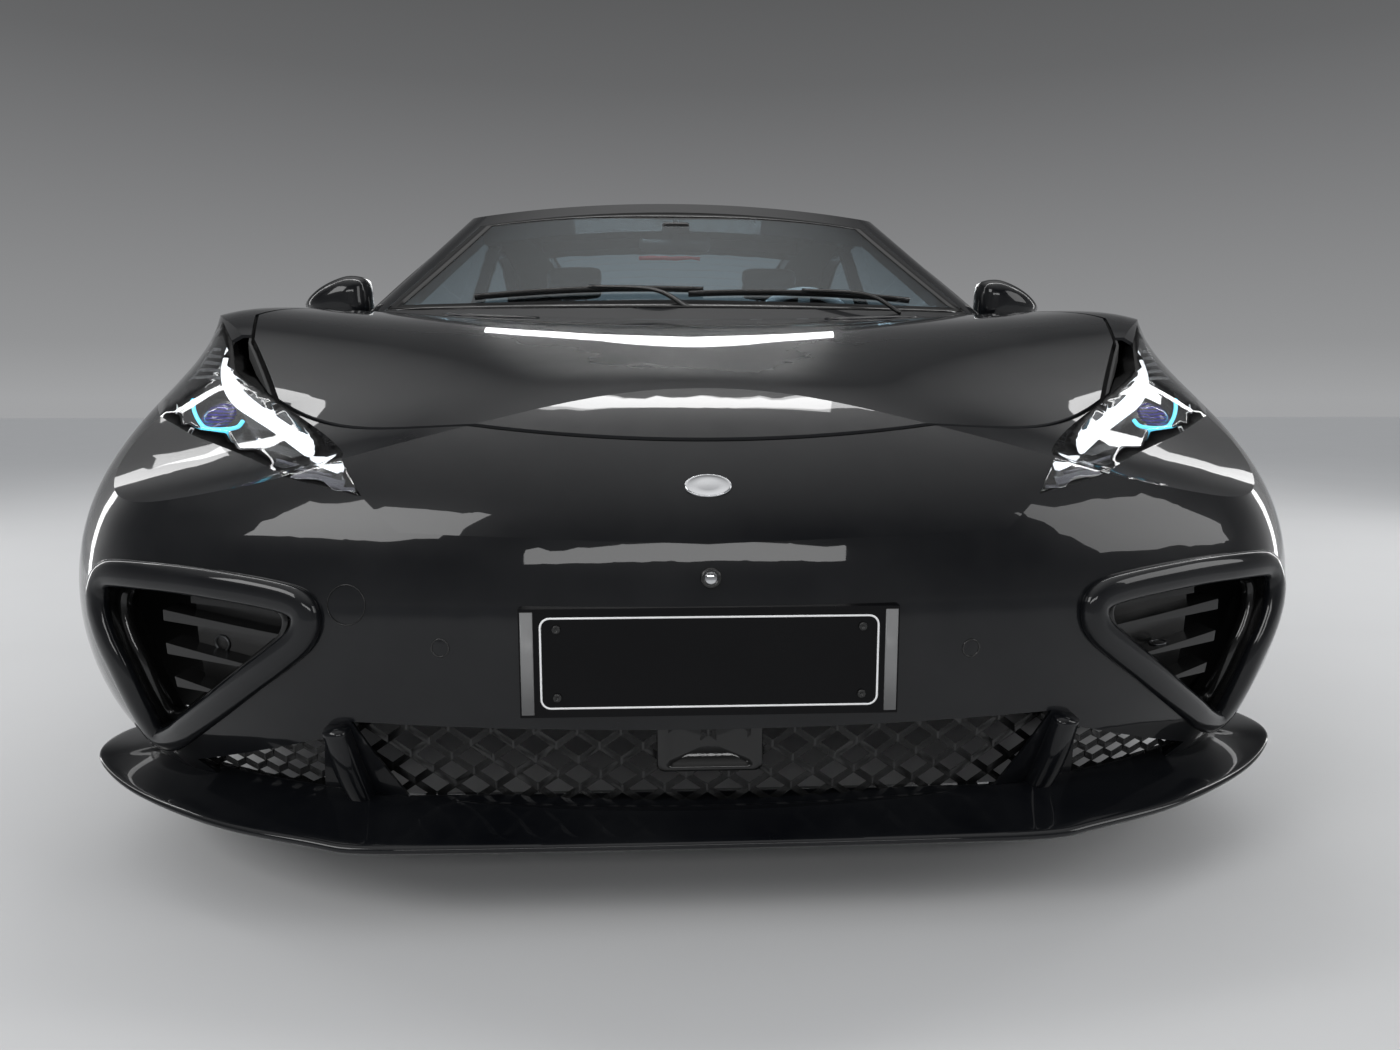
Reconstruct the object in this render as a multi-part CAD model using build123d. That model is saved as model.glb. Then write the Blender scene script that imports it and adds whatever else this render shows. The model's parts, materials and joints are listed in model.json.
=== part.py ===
"""Two-door electric sports coupe, built as separate panels, glass, running gear and cabin pieces.

Units are millimetres. The car faces -Y, its left side is +X and up is +Z.
The origin is on the ground, midway along the overall length.
"""

import os
from math import asin, atan2, cos, pi, radians, sin, tan

from build123d import *

os.makedirs("parts", exist_ok=True)

# Overall sizes
LENGTH = 4715
WIDTH = 1979
HEIGHT = 1415
SKY_Z = HEIGHT + 185
DECK_Z = 880
ROOF_RISE = 535
WHEELBASE = 2770
FRONT_OVERHANG = 870
NOSE_Y = -LENGTH / 2
TAIL_Y = LENGTH / 2
FRONT_AXLE_Y = NOSE_Y + FRONT_OVERHANG
REAR_AXLE_Y = FRONT_AXLE_Y + WHEELBASE
HALF_WIDTH = WIDTH / 2
PLATE_PROUD = 8

# Wheels and tyres; wheel sizes along X are measured outboard from the wheel's middle
TYRE_R = 351
TYRE_HALF_WIDTH = 122.5
# Heights of the bulge, the wall and the shoulder, as shares of the wall between rim and tread
TYRE_WALL_SHARES = (46 / 97, 74 / 97, 90 / 97)
RIM_SEAT_R = 238
RIM_LIP_R = 253
RIM_HALF_WIDTH = 111
RIM_WALL = 9
HUB_R = 74
HUB_FACE_X = 45
SPOKES = 5
SPOKE_SPLAY = 11
SPOKE_ROOT_R = 55
SPOKE_ROOT = (34, 34)
SPOKE_TIP = (30, 26)
DISC_R = 178
DISC_X = (4, 32)
SPINDLE_R = 22
SPINDLE_CLEARANCE = 0.08
FRONT_TRACK = 1680
REAR_TRACK = 1700
BOLT_CIRCLE_R = 60
BOLT_HOLE_R = 7.5
BOLTS = 5

# Steering and suspension; kingpin offset is inboard from the wheel's middle
KINGPIN_OFFSET = 20
KINGPIN_R = 12
KINGPIN_CLEARANCE = 0.08
BALL_JOINT_REACH = 155
BALL_JOINT_Z = (TYRE_R - BALL_JOINT_REACH, TYRE_R + BALL_JOINT_REACH)
SUBFRAME_BELOW = 26
SUBFRAME_ABOVE = 34
SUBFRAME_RAIL = 60
ARM_INNER_X = 480
ARM_SPREAD = 110
ARM_TUBE_R = 12

# Panels and gaps
SKIN = 5
PANEL_GAP = 6
HEM = 25
ARCH_CLEARANCE = 35
ARCH_R = TYRE_R + ARCH_CLEARANCE
ARCH_LIP = 9
LINER_R = ARCH_R + ARCH_LIP
LINER = 4
LINER_INNER_X = (531, 690)
LINER_BASE_Z = 150
BONNET_THICK = 22
LID_THICK = 30
CLOSURE = 4
GLASS = 5
PILLAR_WALL = 48
GLASS_FLANGE = 22
SEAL_GAP = 8
DOOR_SLOT = 11

# Door: the hinge axis stands forward of the door's edge and just inside the skin
DOOR_Y = (-819, 450)
DOOR_GAP = 7
DOOR_BASE_Z = 312
DOOR_INNER_X = 800
DOOR_SHELF_Z = 860
DOOR_SWEEP = 12
DOOR_GLASS_LAP = 12
HINGE_X = 945
HINGE_Y = -910
HINGE_Z = (400, 590)
HINGE_PIN_R = 5
HINGE_ARM = 12
HINGE_LEAF = 22
HINGE_CLEARANCE = 0.08


def over_deck(z):
    """A height of the glasshouse, stretched with the overall height above the deck."""
    return DECK_Z + (z - DECK_Z) * (HEIGHT - DECK_Z) / ROOF_RISE


# Plan outlines of the lower body, one row a level
# z, nose_y, nose_setback, nose_x, half_front, half_waist, half_rear, tail_x, tail_setback, tail_y
WALL_LEVELS = [
    (130, -2290, 120, 660, 925, 925, 935, 650, 60, 2260),
    (300, -2345, 125, 740, 978, 965, 985, 700, 70, 2340),
    (450, NOSE_Y + PLATE_PROUD, 125, 750, 985, 968, HALF_WIDTH, 720, 75, TAIL_Y),
    (580, -2302, 140, 740, 982, 965, 988, 700, 80, 2350),
    (690, -2180, 150, 720, 968, 955, 980, 690, 85, 2340),
    (790, -1990, 130, 715, 945, 940, 962, 680, 90, 2328),
    (1060, -1890, 60, 700, 890, 900, 915, 640, 100, 2300),
]
BODY_BASE_Z = WALL_LEVELS[0][0]
WAIST_Y = -100

# Cross-sections of the bonnet, shoulders and rear deck, one row a station
# y, z_centre, crest_x, z_crest, z_edge
SHOULDER_X = 1060
CREST_CHORD = 90
TOP_SECTIONS = [
    (-2600, 500, 560, 380, 260),
    (-2240, 668, 560, 592, 470),
    (-2000, 752, 660, 698, 575),
    (-1800, 797, 790, 806, 708),
    (-1640, 830, 835, 860, 775),
    (-1440, 858, 835, 890, 790),
    (-1000, 906, 810, 918, 835),
    (100, 938, 800, 930, 850),
    (1282, 985, 790, 990, 860),
    (1745, 1020, 700, 1002, 900),
    (2330, 1006, 650, 990, 890),
    (2600, 960, 620, 940, 840),
]

# Plan outlines of the glasshouse: two levels, ruled between
# z, nose_y, nose_setback, nose_x, half_front, half_middle, half_rear, tail_x
GLASS_LEVELS = [
    (800, -1320, 140, 825, 902, 925, 890, 520),
    (over_deck(1500), 39, 126, 558, 640, 668, 560, 380),
]
GLASS_SIDE_END_Y = 1450
GLASS_TAIL_Y = 2240
GLASS_TAIL_SETBACK = 60
NOSE_SLOPE = 0.45

# Crown of the roof and fastback: y, z_centre, fall at the reference half-width
ROOF_REF_X = 900
ROOF_SECTIONS = [
    (-1400, over_deck(1150), 90),
    (-800, over_deck(1262), 90),
    (-330, over_deck(1330), 90),
    (0, over_deck(1390), 92),
    (300, HEIGHT, 92),
    (700, over_deck(1395), 92),
    (1100, over_deck(1302), 90),
    (1450, over_deck(1165), 85),
    (1735, over_deck(1035), 80),
    (2100, over_deck(860), 80),
    (2500, over_deck(650), 80),
]

# Panel outlines. A stop is a point, or a pair: a point on the arc and the arc's end.
# In plan (x, y)
BONNET_PLAN = [
    (-655, -2000), ((0, -2240), (655, -2000)), (765, -1810), (820, -1650), (790, -1040),
    ((0, -1150), (-790, -1040)), (-820, -1650), (-765, -1810),
]
WINDSCREEN_PLAN = [
    (-790, -925), ((0, -1075), (790, -925)), (640, -300), ((0, -350), (-640, -300)),
]
ROOF_PLAN = [
    (-600, -262), ((0, -312), (600, -262)), (610, 300), (570, 690),
    ((0, 730), (-570, 690)), (-610, 300),
]
REAR_WINDOW_PLAN = [
    (-560, 730), ((0, 770), (560, 730)), (480, 1640), ((0, 1735), (-480, 1640)),
]
LID_PLAN = [(-560, 1790), ((0, 1815), (560, 1790)), (610, 2560), (-610, 2560)]
TROUGH_PLAN = [
    (-796, -1046), ((0, -1156), (796, -1046)), (796, -900), ((0, -1050), (-796, -900)),
]
SCREEN_RAIL_PLAN = [
    (-796, -925), ((0, -1075), (796, -925)), (796, -850), ((0, -1000), (-796, -850)),
]
# In front view (x, z)
LAMP_EDGE = [(455, 571), (607, 600), (776, 643), (905, 690), (938, 745), (920, 800), (872, 842)]
LAMP_FRONT = [*LAMP_EDGE, (812, 800), (755, 745), (647, 690), (500, 624)]
NOSE_EDGE = [(0, 517), (400, 528), *LAMP_EDGE, (872, 950)]
INTAKE_FRONT = [
    (506, 420), (524, 446), (566, 457), (720, 470), (828, 470), (852, 450), (860, 410), (824, 320),
    (800, 216), (772, 206), (716, 236), (600, 322), (520, 386),
]
GRILLE_FRONT = [(-473, 275), (473, 275), (408, 152), (-408, 152)]
SIDE_GRILLE_FRONT = [(515, 246), (735, 180), (700, 150), (535, 150)]
# Fins inside the corner intake, tapering towards the middle of the car
INTAKE_FINS = [
    [(545, 416), (545, 421), (700, 440), (700, 424)],
    [(560, 382), (560, 387), (745, 412), (745, 397)],
    [(625, 338), (625, 343), (745, 365), (745, 349)],
    [(680, 294), (680, 299), (740, 315), (740, 299)],
]
SPLITTER_PLAN = [
    (-925, -1892), (-925, -1980), (-890, -2120), ((-690, -2262), (-450, -2350)),
    ((0, NOSE_Y + 0.5), (450, -2350)), ((690, -2262), (890, -2120)), (925, -1980), (925, -1892),
]
# In side view (y, z)
DIFFUSER_RAMP = [(1990, 130), (1990, 142), (2400, 293), (2400, 281)]
DIFFUSER_FIN = [(2060, 130), (2060, 166), (2400, 291), (2400, 170), (2300, 140)]
DOOR_GLASS_SIDE = [
    (-812, 880), (-812, over_deck(922)), (-150, over_deck(1243)),
    ((150, over_deck(1302)), (442, over_deck(1306))), (442, 880),
]
QUARTER_GLASS_SIDE = [
    (458, over_deck(958)), (458, over_deck(1306)), ((900, over_deck(1258)), (1190, over_deck(1070))),
    (1150, over_deck(1004)), (800, over_deck(977)),
]
# In rear view (x, z)
TAIL_LAMP_REAR = [
    (-1000, 700), (-620, 690), (620, 690), (1000, 700), (1000, 772), (620, 762), (-620, 762),
    (-1000, 772),
]
LAMP_END_Y = -1650
BUMPER_JOINT_Y = -1790
REAR_BUMPER_SIDE_Z = 640
TAIL_LAMP_Y = 2080
LAMP_DEPTH = 30
LID_EDGE_Z = 768
SILL_TOP_Z = 306
FENDER_END_Y = DOOR_Y[0] - DOOR_GAP
QUARTER_START_Y = DOOR_Y[1] + PANEL_GAP

# Front and rear trim
INTAKE_FRAME = 24
INTAKE_REACH = (-34, 52)
INTAKE_WALL = (-30, 45)
INTAKE_WALL_X = 712
FIN_RECESS = (-10, 16)
GRILLE_LAP = 12
GRILLE_GAP = 1
GRILLE_THICK = 14
LATTICE_ROWS = 3
LATTICE_PITCH = (56, 34)
LATTICE_CELL = (46, 27)
LATTICE_Z = 178
LATTICE_X = (385, 405, 425)
SENSOR_BOX = (74, 206, 288)
SPLITTER_Z = (118, 130)
DIFFUSER_X = 600
DIFFUSER_TOP_Z = 300
DIFFUSER_STRIP = (244, 12)
DIFFUSER_FINS = (-420, -210, 0, 210, 420)
DIFFUSER_FIN_THICK = 8

# Door mirror: y, x, z, width and height of its shell's sections, and its arm in front view
MIRROR_SECTIONS = [(-800, 985, 985, 60, 50), (-770, 975, 985, 170, 105), (-690, 970, 985, 190, 125)]
MIRROR_ARM = [(876, 880), (912, 880), (932, 950), (893, 962)]
MIRROR_ARM_Y = (-780, -725)

# Lids: hinge axes across the car
BONNET_HINGE = (-1024, 868)
LID_HINGE = (1768, 978)
LID_PIN_R = 5
LID_EYE_WALL = 6
LID_ARM_WIDTH = 26
LID_ARM_THICK = 16
LID_HINGE_X = (640, 430)

# Underbody and cabin
PACK = (-830, 860, 690, 132, 252)
FLOOR = 8
BULKHEAD_Y = (-1080, -1065)
FRONT_BEAM_HALF = INTAKE_FRONT[0][0] - 1
REAR_BEAM_HALF = 600
PILLAR_X = (790, 840)
FRONT_TUB = (440, -1850, -1200, 400)
BOOT_TUB = (480, 1850, 2240, 560)
BOOT_MOUTH_Z = 800
TUB_WALL = 6
TUB_PLATE_END_Y = -1170
LAMP_CLEARANCE = 1
DASH_SIDE = [
    (BULKHEAD_Y[1], 700), (BULKHEAD_Y[1], 800), (-960, 860), ((-800, 900), (-680, 860)), (-640, 800),
    (-690, 690), (-820, 640),
]
CONSOLE_SIDE = [(-840, 260), (-840, 640), (-700, 600), (-300, 470), (250, 500), (250, 260)]
CONSOLE_X = 120
SEAT_X = 380
SEAT_BASE_Z = 260
# Side outline and half-width of a front seat's cushion, back and head pad
SEAT_SIDE = [
    ([(-470, 300), (-500, 400), ((-250, 455), (60, 430)), (150, 300)], 245),
    ([(20, 425), ((110, 800), (190, 1060)), (290, 1050), ((260, 700), (190, 400))], 235),
    ([(205, 1075), (225, 1210), (290, 1210), (290, 1075)], 120),
]
REAR_SEAT_SIDE = [(520, 260), (500, 400), ((700, 430), (820, 400)), (960, 860), (990, 850), (985, 260)]
REAR_SEAT_X = 640
STEER_WHEEL = (385, -560, 862)
STEER_WHEEL_R = 182
STEER_TILT = 24
COLUMN_R = 20


def save(node, *solids):
    """Writes one node as one STEP file."""
    flat = []
    for item in solids:
        flat += list(item.solids())
    shape = flat[0] if len(flat) == 1 else Compound(children=flat)
    export_step(shape, f"parts/{node}.step")


def mirrored(shape):
    return shape.mirror(Plane.YZ)


def pair(shape):
    """The shape and its mirror image on the car's other side, side by side."""
    return Compound([*shape.solids(), *mirrored(shape).solids()])


def joined(shape):
    """Two mirrored halves that meet on the centre line, made one."""
    return shape + mirrored(shape)


def largest(shape):
    return max(shape.solids(), key=lambda solid: solid.volume)


def box(x0, x1, y0, y1, z0, z1):
    return Pos((x0 + x1) / 2, (y0 + y1) / 2, (z0 + z1) / 2) * Box(x1 - x0, y1 - y0, z1 - z0)


def outline(path):
    """Joins stops into a closed wire; a stop that is a pair of points is an arc."""
    edges = []
    here = path[0]
    for stop in path[1:]:
        if isinstance(stop[0], tuple):
            edges.append(ThreePointArc(here, stop[0], stop[1]))
            here = stop[1]
        else:
            edges.append(Line(here, stop))
            here = stop
    edges.append(Line(here, path[0]))
    return Wire(edges)


VIEWS = {
    "plan": (Plane.XY, (0, 0, 1)),
    "side": (Plane.YZ, (1, 0, 0)),
    "front": (Plane(origin=(0, 0, 0), x_dir=(1, 0, 0), z_dir=(0, -1, 0)), (0, 1, 0)),
}


def prism(view, path, low, high, grow=0):
    """Extrudes an outline drawn in plan, side or front view from low to high across that view."""
    plane, way = VIEWS[view]
    face = make_face(outline(path))
    if grow:
        face = offset(face, grow, kind=Kind.INTERSECTION)
    start = Plane(origin=Vector(*way) * low, x_dir=plane.x_dir, z_dir=plane.z_dir)
    return extrude(start * face, high - low, dir=way)


def x_cylinder(radius, y, z, x0, x1):
    return Pos((x0 + x1) / 2, y, z) * Rot(0, 90, 0) * Cylinder(radius, abs(x1 - x0))


def z_cylinder(radius, x, y, z0, z1):
    return Pos(x, y, (z0 + z1) / 2) * Cylinder(radius, z1 - z0)


def tube_between(start, end, radius):
    a, b = Vector(*start), Vector(*end)
    plane = Plane(origin=a, z_dir=b - a)
    return plane * Cylinder(radius, (b - a).length, align=(Align.CENTER, Align.CENTER, Align.MIN))


# Outer surfaces


def corner_points(x, setback, half, y, sign):
    """Ends of the corner arc that leaves the end arc in tangent and meets the side along Y."""
    radius = (x * x + setback * setback) / (2 * setback)
    angle = asin(x / radius)
    middle = (angle + pi / 2) / 2
    chord = (half - x) / cos(middle)
    start = (x, y + sign * setback)
    end = (half, y + sign * (setback + chord * sin(middle)))
    return start, end, (cos(angle), sign * sin(angle))


def wall_outline(row, inset):
    z, nose_y, nose_back, nose_x, front, waist, rear, tail_x, tail_back, tail_y = row
    nose_y, tail_y = nose_y + inset, tail_y - inset
    nose_x, tail_x = nose_x - inset, tail_x - inset
    front, waist, rear = front - inset, waist - inset, rear - inset
    a, b, a_way = corner_points(nose_x, nose_back, front, nose_y, 1)
    c, d, c_way = corner_points(tail_x, tail_back, rear, tail_y, -1)
    right = [
        TangentArc(a, b, tangent=a_way),
        Line(b, (front, FRONT_AXLE_Y)),
        ThreePointArc((front, FRONT_AXLE_Y), (waist, WAIST_Y), (rear, REAR_AXLE_Y)),
        Line((rear, REAR_AXLE_Y), d),
        TangentArc(c, d, tangent=c_way),
    ]
    left = [edge.mirror(Plane.YZ) for edge in right]
    nose = ThreePointArc((-a[0], a[1]), (0, nose_y), a)
    tail = ThreePointArc((-c[0], c[1]), (0, tail_y), c)
    return Pos(0, 0, z) * Wire([nose, *right, tail, *left])


def above_tops():
    """The space above the bonnet, shoulders and rear deck, with a rounded crest each side."""
    wires = []
    for y, centre, crest_x, crest, edge in TOP_SECTIONS:
        plane = Plane(origin=(0, y, 0), x_dir=(1, 0, 0), z_dir=(0, -1, 0))
        rise = 2 * atan2(crest - centre, crest_x)
        fall = atan2(edge - crest, SHOULDER_X - crest_x)
        middle = (rise + fall) / 2
        turn = (crest_x + CREST_CHORD * cos(middle), crest + CREST_CHORD * sin(middle))
        end = (SHOULDER_X, turn[1] + (SHOULDER_X - turn[0]) * tan(fall))
        right = [
            TangentArc((crest_x, crest), turn, tangent=(cos(rise), sin(rise))),
            Line(turn, end),
            Line(end, (SHOULDER_X, HEIGHT + 100)),
        ]
        left = [edge.mirror(Plane.YZ) for edge in reversed(right)]
        lid = Line((SHOULDER_X, HEIGHT + 100), (-SHOULDER_X, HEIGHT + 100))
        crown = ThreePointArc((-crest_x, crest), (0, centre), (crest_x, crest))
        wires.append(plane * Wire([crown, *right, lid, *left]))
    return Solid.make_loft(wires, False)


def glass_outline(row, inset):
    z, nose_y, nose_back, nose_x, front, middle, rear, tail_x = row
    nose_y += inset / NOSE_SLOPE
    front, middle, rear = front - inset, middle - inset, rear - inset
    nose_x, tail_x = nose_x - inset * 0.6, tail_x - inset
    a, b, a_way = corner_points(nose_x, nose_back, front, nose_y, 1)
    c, d, c_way = corner_points(tail_x, GLASS_TAIL_SETBACK, rear - 60, GLASS_TAIL_Y - inset, -1)
    side_end = (rear, GLASS_SIDE_END_Y)
    side_middle = (middle, (b[1] + GLASS_SIDE_END_Y) / 2)
    right = [
        TangentArc(a, b, tangent=a_way),
        ThreePointArc(b, side_middle, side_end),
        Line(side_end, d),
        TangentArc(c, d, tangent=c_way),
    ]
    left = [edge.mirror(Plane.YZ) for edge in right]
    nose = ThreePointArc((-a[0], a[1]), (0, nose_y), a)
    tail = ThreePointArc((-c[0], c[1]), (0, GLASS_TAIL_Y - inset), c)
    return Pos(0, 0, z) * Wire([nose, *right, tail, *left])


def above_roof(drop):
    wires = []
    top = HEIGHT + 300
    for y, centre, fall in ROOF_SECTIONS:
        plane = Plane(origin=(0, y, 0), x_dir=(1, 0, 0), z_dir=(0, -1, 0))
        low = centre - drop - fall
        sides = [
            Line((ROOF_REF_X, low), (ROOF_REF_X, top)),
            Line((ROOF_REF_X, top), (-ROOF_REF_X, top)),
            Line((-ROOF_REF_X, top), (-ROOF_REF_X, low)),
        ]
        crown = ThreePointArc((-ROOF_REF_X, low), (0, centre - drop), (ROOF_REF_X, low))
        wires.append(plane * Wire([crown, *sides]))
    return Solid.make_loft(wires, False)


def glasshouse(inset):
    levels = Solid.make_loft([glass_outline(row, inset) for row in GLASS_LEVELS], True)
    return levels - above_roof(inset)


WALLS = Solid.make_loft([wall_outline(row, 0) for row in WALL_LEVELS], False)
INNER_WALLS = Solid.make_loft([wall_outline(row, SKIN) for row in WALL_LEVELS], False)
TOPS = above_tops()


def below_top(zone, depth):
    """The part of a zone inside the walls and deeper than depth under the top surface."""
    return (zone & INNER_WALLS) - Pos(0, 0, -depth) * TOPS


def layer(zone, top, bottom):
    """The part of a zone inside the walls, from one depth under the top surface to another."""
    return below_top(zone, top) & Pos(0, 0, -bottom) * TOPS


BODY = WALLS - TOPS
INSIDE = INNER_WALLS - Pos(0, 0, -SKIN) * TOPS
HOUSE = glasshouse(0)
HOUSE_GLASS = glasshouse(GLASS)
SKIN_SHELL = BODY - INSIDE
GLASS_SHELL = HOUSE - HOUSE_GLASS

ARCHES = x_cylinder(ARCH_R, FRONT_AXLE_Y, TYRE_R, -1100, 1100) + x_cylinder(
    ARCH_R, REAR_AXLE_Y, TYRE_R, -1100, 1100
)
LINER_SPACE = pair(
    x_cylinder(LINER_R + LINER, FRONT_AXLE_Y, TYRE_R, LINER_INNER_X[0], 1100)
    + x_cylinder(LINER_R + LINER, REAR_AXLE_Y, TYRE_R, LINER_INNER_X[1], 1100)
)


def bonnet_zone(grow=0):
    return prism("plan", BONNET_PLAN, 300, 1100, grow)


def lid_zone(grow=0):
    zone = prism("plan", LID_PLAN, 300, 1200, grow)
    return zone - box(-1000, 1000, 2000, 2700, 0, LID_EDGE_Z - grow)


def lamp_zone(grow=0):
    return pair(prism("front", LAMP_FRONT, -2500, LAMP_END_Y, grow))


def cabin_hole():
    """The opening in the lower body under the glass, inside the pillars' feet."""
    low, high = GLASS_LEVELS[0], GLASS_LEVELS[1]
    share = (960 - low[0]) / (high[0] - low[0])
    row = [a + (b - a) * share for a, b in zip(low, high)]
    wire = glass_outline(row, PILLAR_WALL)
    hole = extrude(make_face(Pos(0, 0, -360) * wire), 600, dir=(0, 0, 1))
    return hole & box(-900, 900, FENDER_END_Y, 1700, 500, over_deck(1300))


def skins():
    """The outer panels of the lower body, cut apart along their shut lines."""
    tail_lamp = prism("front", TAIL_LAMP_REAR, TAIL_LAMP_Y, 2500)
    cuts = [bonnet_zone(PANEL_GAP), lid_zone(PANEL_GAP), lamp_zone(), ARCHES, tail_lamp]
    fixed = SKIN_SHELL - cuts
    nose_half = fixed & box(-1100, 1100, -2700, BUMPER_JOINT_Y, 0, 1200)
    nose_path = [*NOSE_EDGE, *[(-x, z) for x, z in reversed(NOSE_EDGE[1:])]]
    nose_cut = prism("front", nose_path, -2700, BUMPER_JOINT_Y)
    pieces = {"nose_panel": largest(nose_half & nose_cut)}
    bumper = largest(nose_half - nose_cut)
    bumper -= pair(prism("front", INTAKE_FRONT, -2500, BUMPER_JOINT_Y))
    bumper -= prism("front", GRILLE_FRONT, -2500, -2100)
    bumper -= pair(prism("front", SIDE_GRILLE_FRONT, -2500, -1950))
    pieces["front_bumper"] = bumper
    fender = fixed & box(0, 1100, BUMPER_JOINT_Y, FENDER_END_Y, SILL_TOP_Z, 1200)
    fender -= box(0, BONNET_PLAN[4][0] + PANEL_GAP, BONNET_PLAN[4][1] - PANEL_GAP, 0, 600, 1200)
    pieces["front_fenders"] = pair(largest(fender))
    bumper_side = [
        (REAR_AXLE_Y, 0), (2700, 0), (2700, 700), (TAIL_LAMP_Y, 700),
        (TAIL_LAMP_Y, REAR_BUMPER_SIDE_Z), (REAR_AXLE_Y, REAR_BUMPER_SIDE_Z),
    ]
    bumper_cut = prism("side", bumper_side, -1100, 1100)
    behind_arch = box(-1100, 1100, REAR_AXLE_Y, 2700, 0, 1200)
    rear_bumper = fixed & behind_arch & bumper_cut
    rear_bumper -= box(-600, 600, 2200, 2700, 0, 300)
    pieces["rear_bumper"] = largest(rear_bumper)
    quarter = fixed & box(0, 1100, QUARTER_START_Y, 2700, SILL_TOP_Z, 1200)
    quarter = quarter - (bumper_cut & behind_arch) - cabin_hole() - channel_space()
    wall = INSIDE & box(DOOR_INNER_X, 1100, QUARTER_START_Y, REAR_AXLE_Y - LINER_R, SILL_TOP_Z, 1100)
    wall = wall - LINER_SPACE - cabin_hole()
    pieces["rear_quarters"] = pair(largest(largest(quarter) + wall))
    sill = BODY & box(700, 1100, FRONT_AXLE_Y, REAR_AXLE_Y, BODY_BASE_Z, SILL_TOP_Z)
    pieces["sills"] = pair(largest(sill - LINER_SPACE))
    return pieces


def channel_space():
    """The recessed channel between the rear window and the boot lid."""
    return box(-590, 590, 1700, LID_PLAN[0][1] - PANEL_GAP + 30, 900, 1100) - prism(
        "plan", REAR_WINDOW_PLAN, 800, 1200
    )


def arch_liners():
    pieces = []
    for axle, inner in zip((FRONT_AXLE_Y, REAR_AXLE_Y), LINER_INNER_X):
        shell = x_cylinder(LINER_R + LINER, axle, TYRE_R, inner, 1100)
        shell -= x_cylinder(LINER_R, axle, TYRE_R, inner + LINER, 1100)
        window = box(inner - 1, inner + LINER + 1, axle - 150, axle + 150, 0, 560)
        shell = shell - window - box(0, 1100, axle - 500, axle + 500, 0, LINER_BASE_Z)
        pieces.append(largest(shell & INSIDE))
    return [pair(piece) for piece in pieces]


def thick_panel(zone, thin, thick):
    """A lid's outer skin with a thicker core set back from its edges."""
    return largest((SKIN_SHELL & zone) + layer(thin, SKIN, thick))


def hinge_eyes(panel, pin, side_x, foot, top_z, thick):
    """Adds a hinge arm and eye at each side of a lid; foot is where along Y its leg stands."""
    y, z = pin
    reach = (min(y, foot[0]), max(y, foot[1]))
    for x in (-side_x, side_x):
        low, high = x - LID_ARM_WIDTH / 2, x + LID_ARM_WIDTH / 2
        bar = box(low, high, *reach, z - LID_ARM_THICK / 2, z + LID_ARM_THICK / 2)
        bar += box(low, high, *foot, z - LID_ARM_THICK / 2, top_z)
        panel += below_top(bar, thick) + x_cylinder(LID_PIN_R + LID_EYE_WALL, y, z, low, high)
        panel -= x_cylinder(LID_PIN_R + HINGE_CLEARANCE, y, z, low - 5, high + 5)
    return largest(panel)


def bonnet():
    panel = thick_panel(bonnet_zone(), bonnet_zone(-HEM), BONNET_THICK)
    y = BONNET_HINGE[0]
    return hinge_eyes(panel, BONNET_HINGE, LID_HINGE_X[0], (y - 90, y - 70), 960, BONNET_THICK)


def boot_lid():
    panel = thick_panel(lid_zone(), lid_zone(-HEM), LID_THICK)
    y = LID_HINGE[0]
    return hinge_eyes(panel, LID_HINGE, LID_HINGE_X[1], (y + 40, y + 58), 1060, LID_THICK)


def hinge_brackets(pin, xs, base_z):
    """Two ears and a pin for each lid hinge, standing on the body."""
    y, z = pin
    pieces = []
    for x in xs:
        part = x_cylinder(LID_PIN_R, y, z, x - 24, x + 24)
        part += box(x - 24, x + 24, y - 10, y + 10, base_z, base_z + 6)
        for ear_x in (x - 24, x + 14):
            part += box(ear_x, ear_x + 10, y - 10, y + 10, base_z, z + 10)
        pieces.append(part)
    return pieces


def front_tub():
    """Closing plate under the bonnet with its drain gutter and a luggage tub."""
    deep = BONNET_THICK + PANEL_GAP
    opening = bonnet_zone(PANEL_GAP)
    zone = bonnet_zone(PANEL_GAP + CLOSURE) - box(-1000, 1000, TUB_PLATE_END_Y, -900, 0, 1200)
    gutter = layer(zone - opening, SKIN, deep)
    plate = layer(zone, deep, deep + CLOSURE)
    half_x, front, rear, floor = FRONT_TUB
    tub = below_top(box(-half_x, half_x, front, rear, floor, 1200), deep + CLOSURE)
    wall = TUB_WALL
    hollow = box(wall - half_x, half_x - wall, front + wall, rear - wall, floor + wall, 1200)
    lamps = lamp_zone(LAMP_CLEARANCE) - opening
    return largest((plate + gutter + tub) - hollow - lamps)


def headlamps():
    """A curved lens block each side, cut to the shut lines round it."""
    zone = prism("front", LAMP_FRONT, -2500, LAMP_END_Y) - bonnet_zone(PANEL_GAP)
    return pair(largest((BODY & zone) - Pos(0, LAMP_DEPTH, -LAMP_DEPTH) * BODY))


def boot_tub():
    deep = LID_THICK + PANEL_GAP
    zone = lid_zone(PANEL_GAP + CLOSURE) - box(-1000, 1000, 1700, 1830, 0, 1300)
    gutter = layer(zone - lid_zone(PANEL_GAP), SKIN, deep)
    plate = layer(zone, deep, deep + CLOSURE)
    half_x, front, rear, floor = BOOT_TUB
    tub = below_top(box(-half_x, half_x, front, rear, floor, 1200), deep + CLOSURE)
    wall = TUB_WALL
    hollow = box(wall - half_x, half_x - wall, front + wall, rear - wall, floor + wall, 1300)
    hollow += box(wall - half_x, half_x - wall, rear - 40, 2500, BOOT_MOUTH_Z, 1300)
    return largest((plate + gutter + tub) - hollow)


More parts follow.
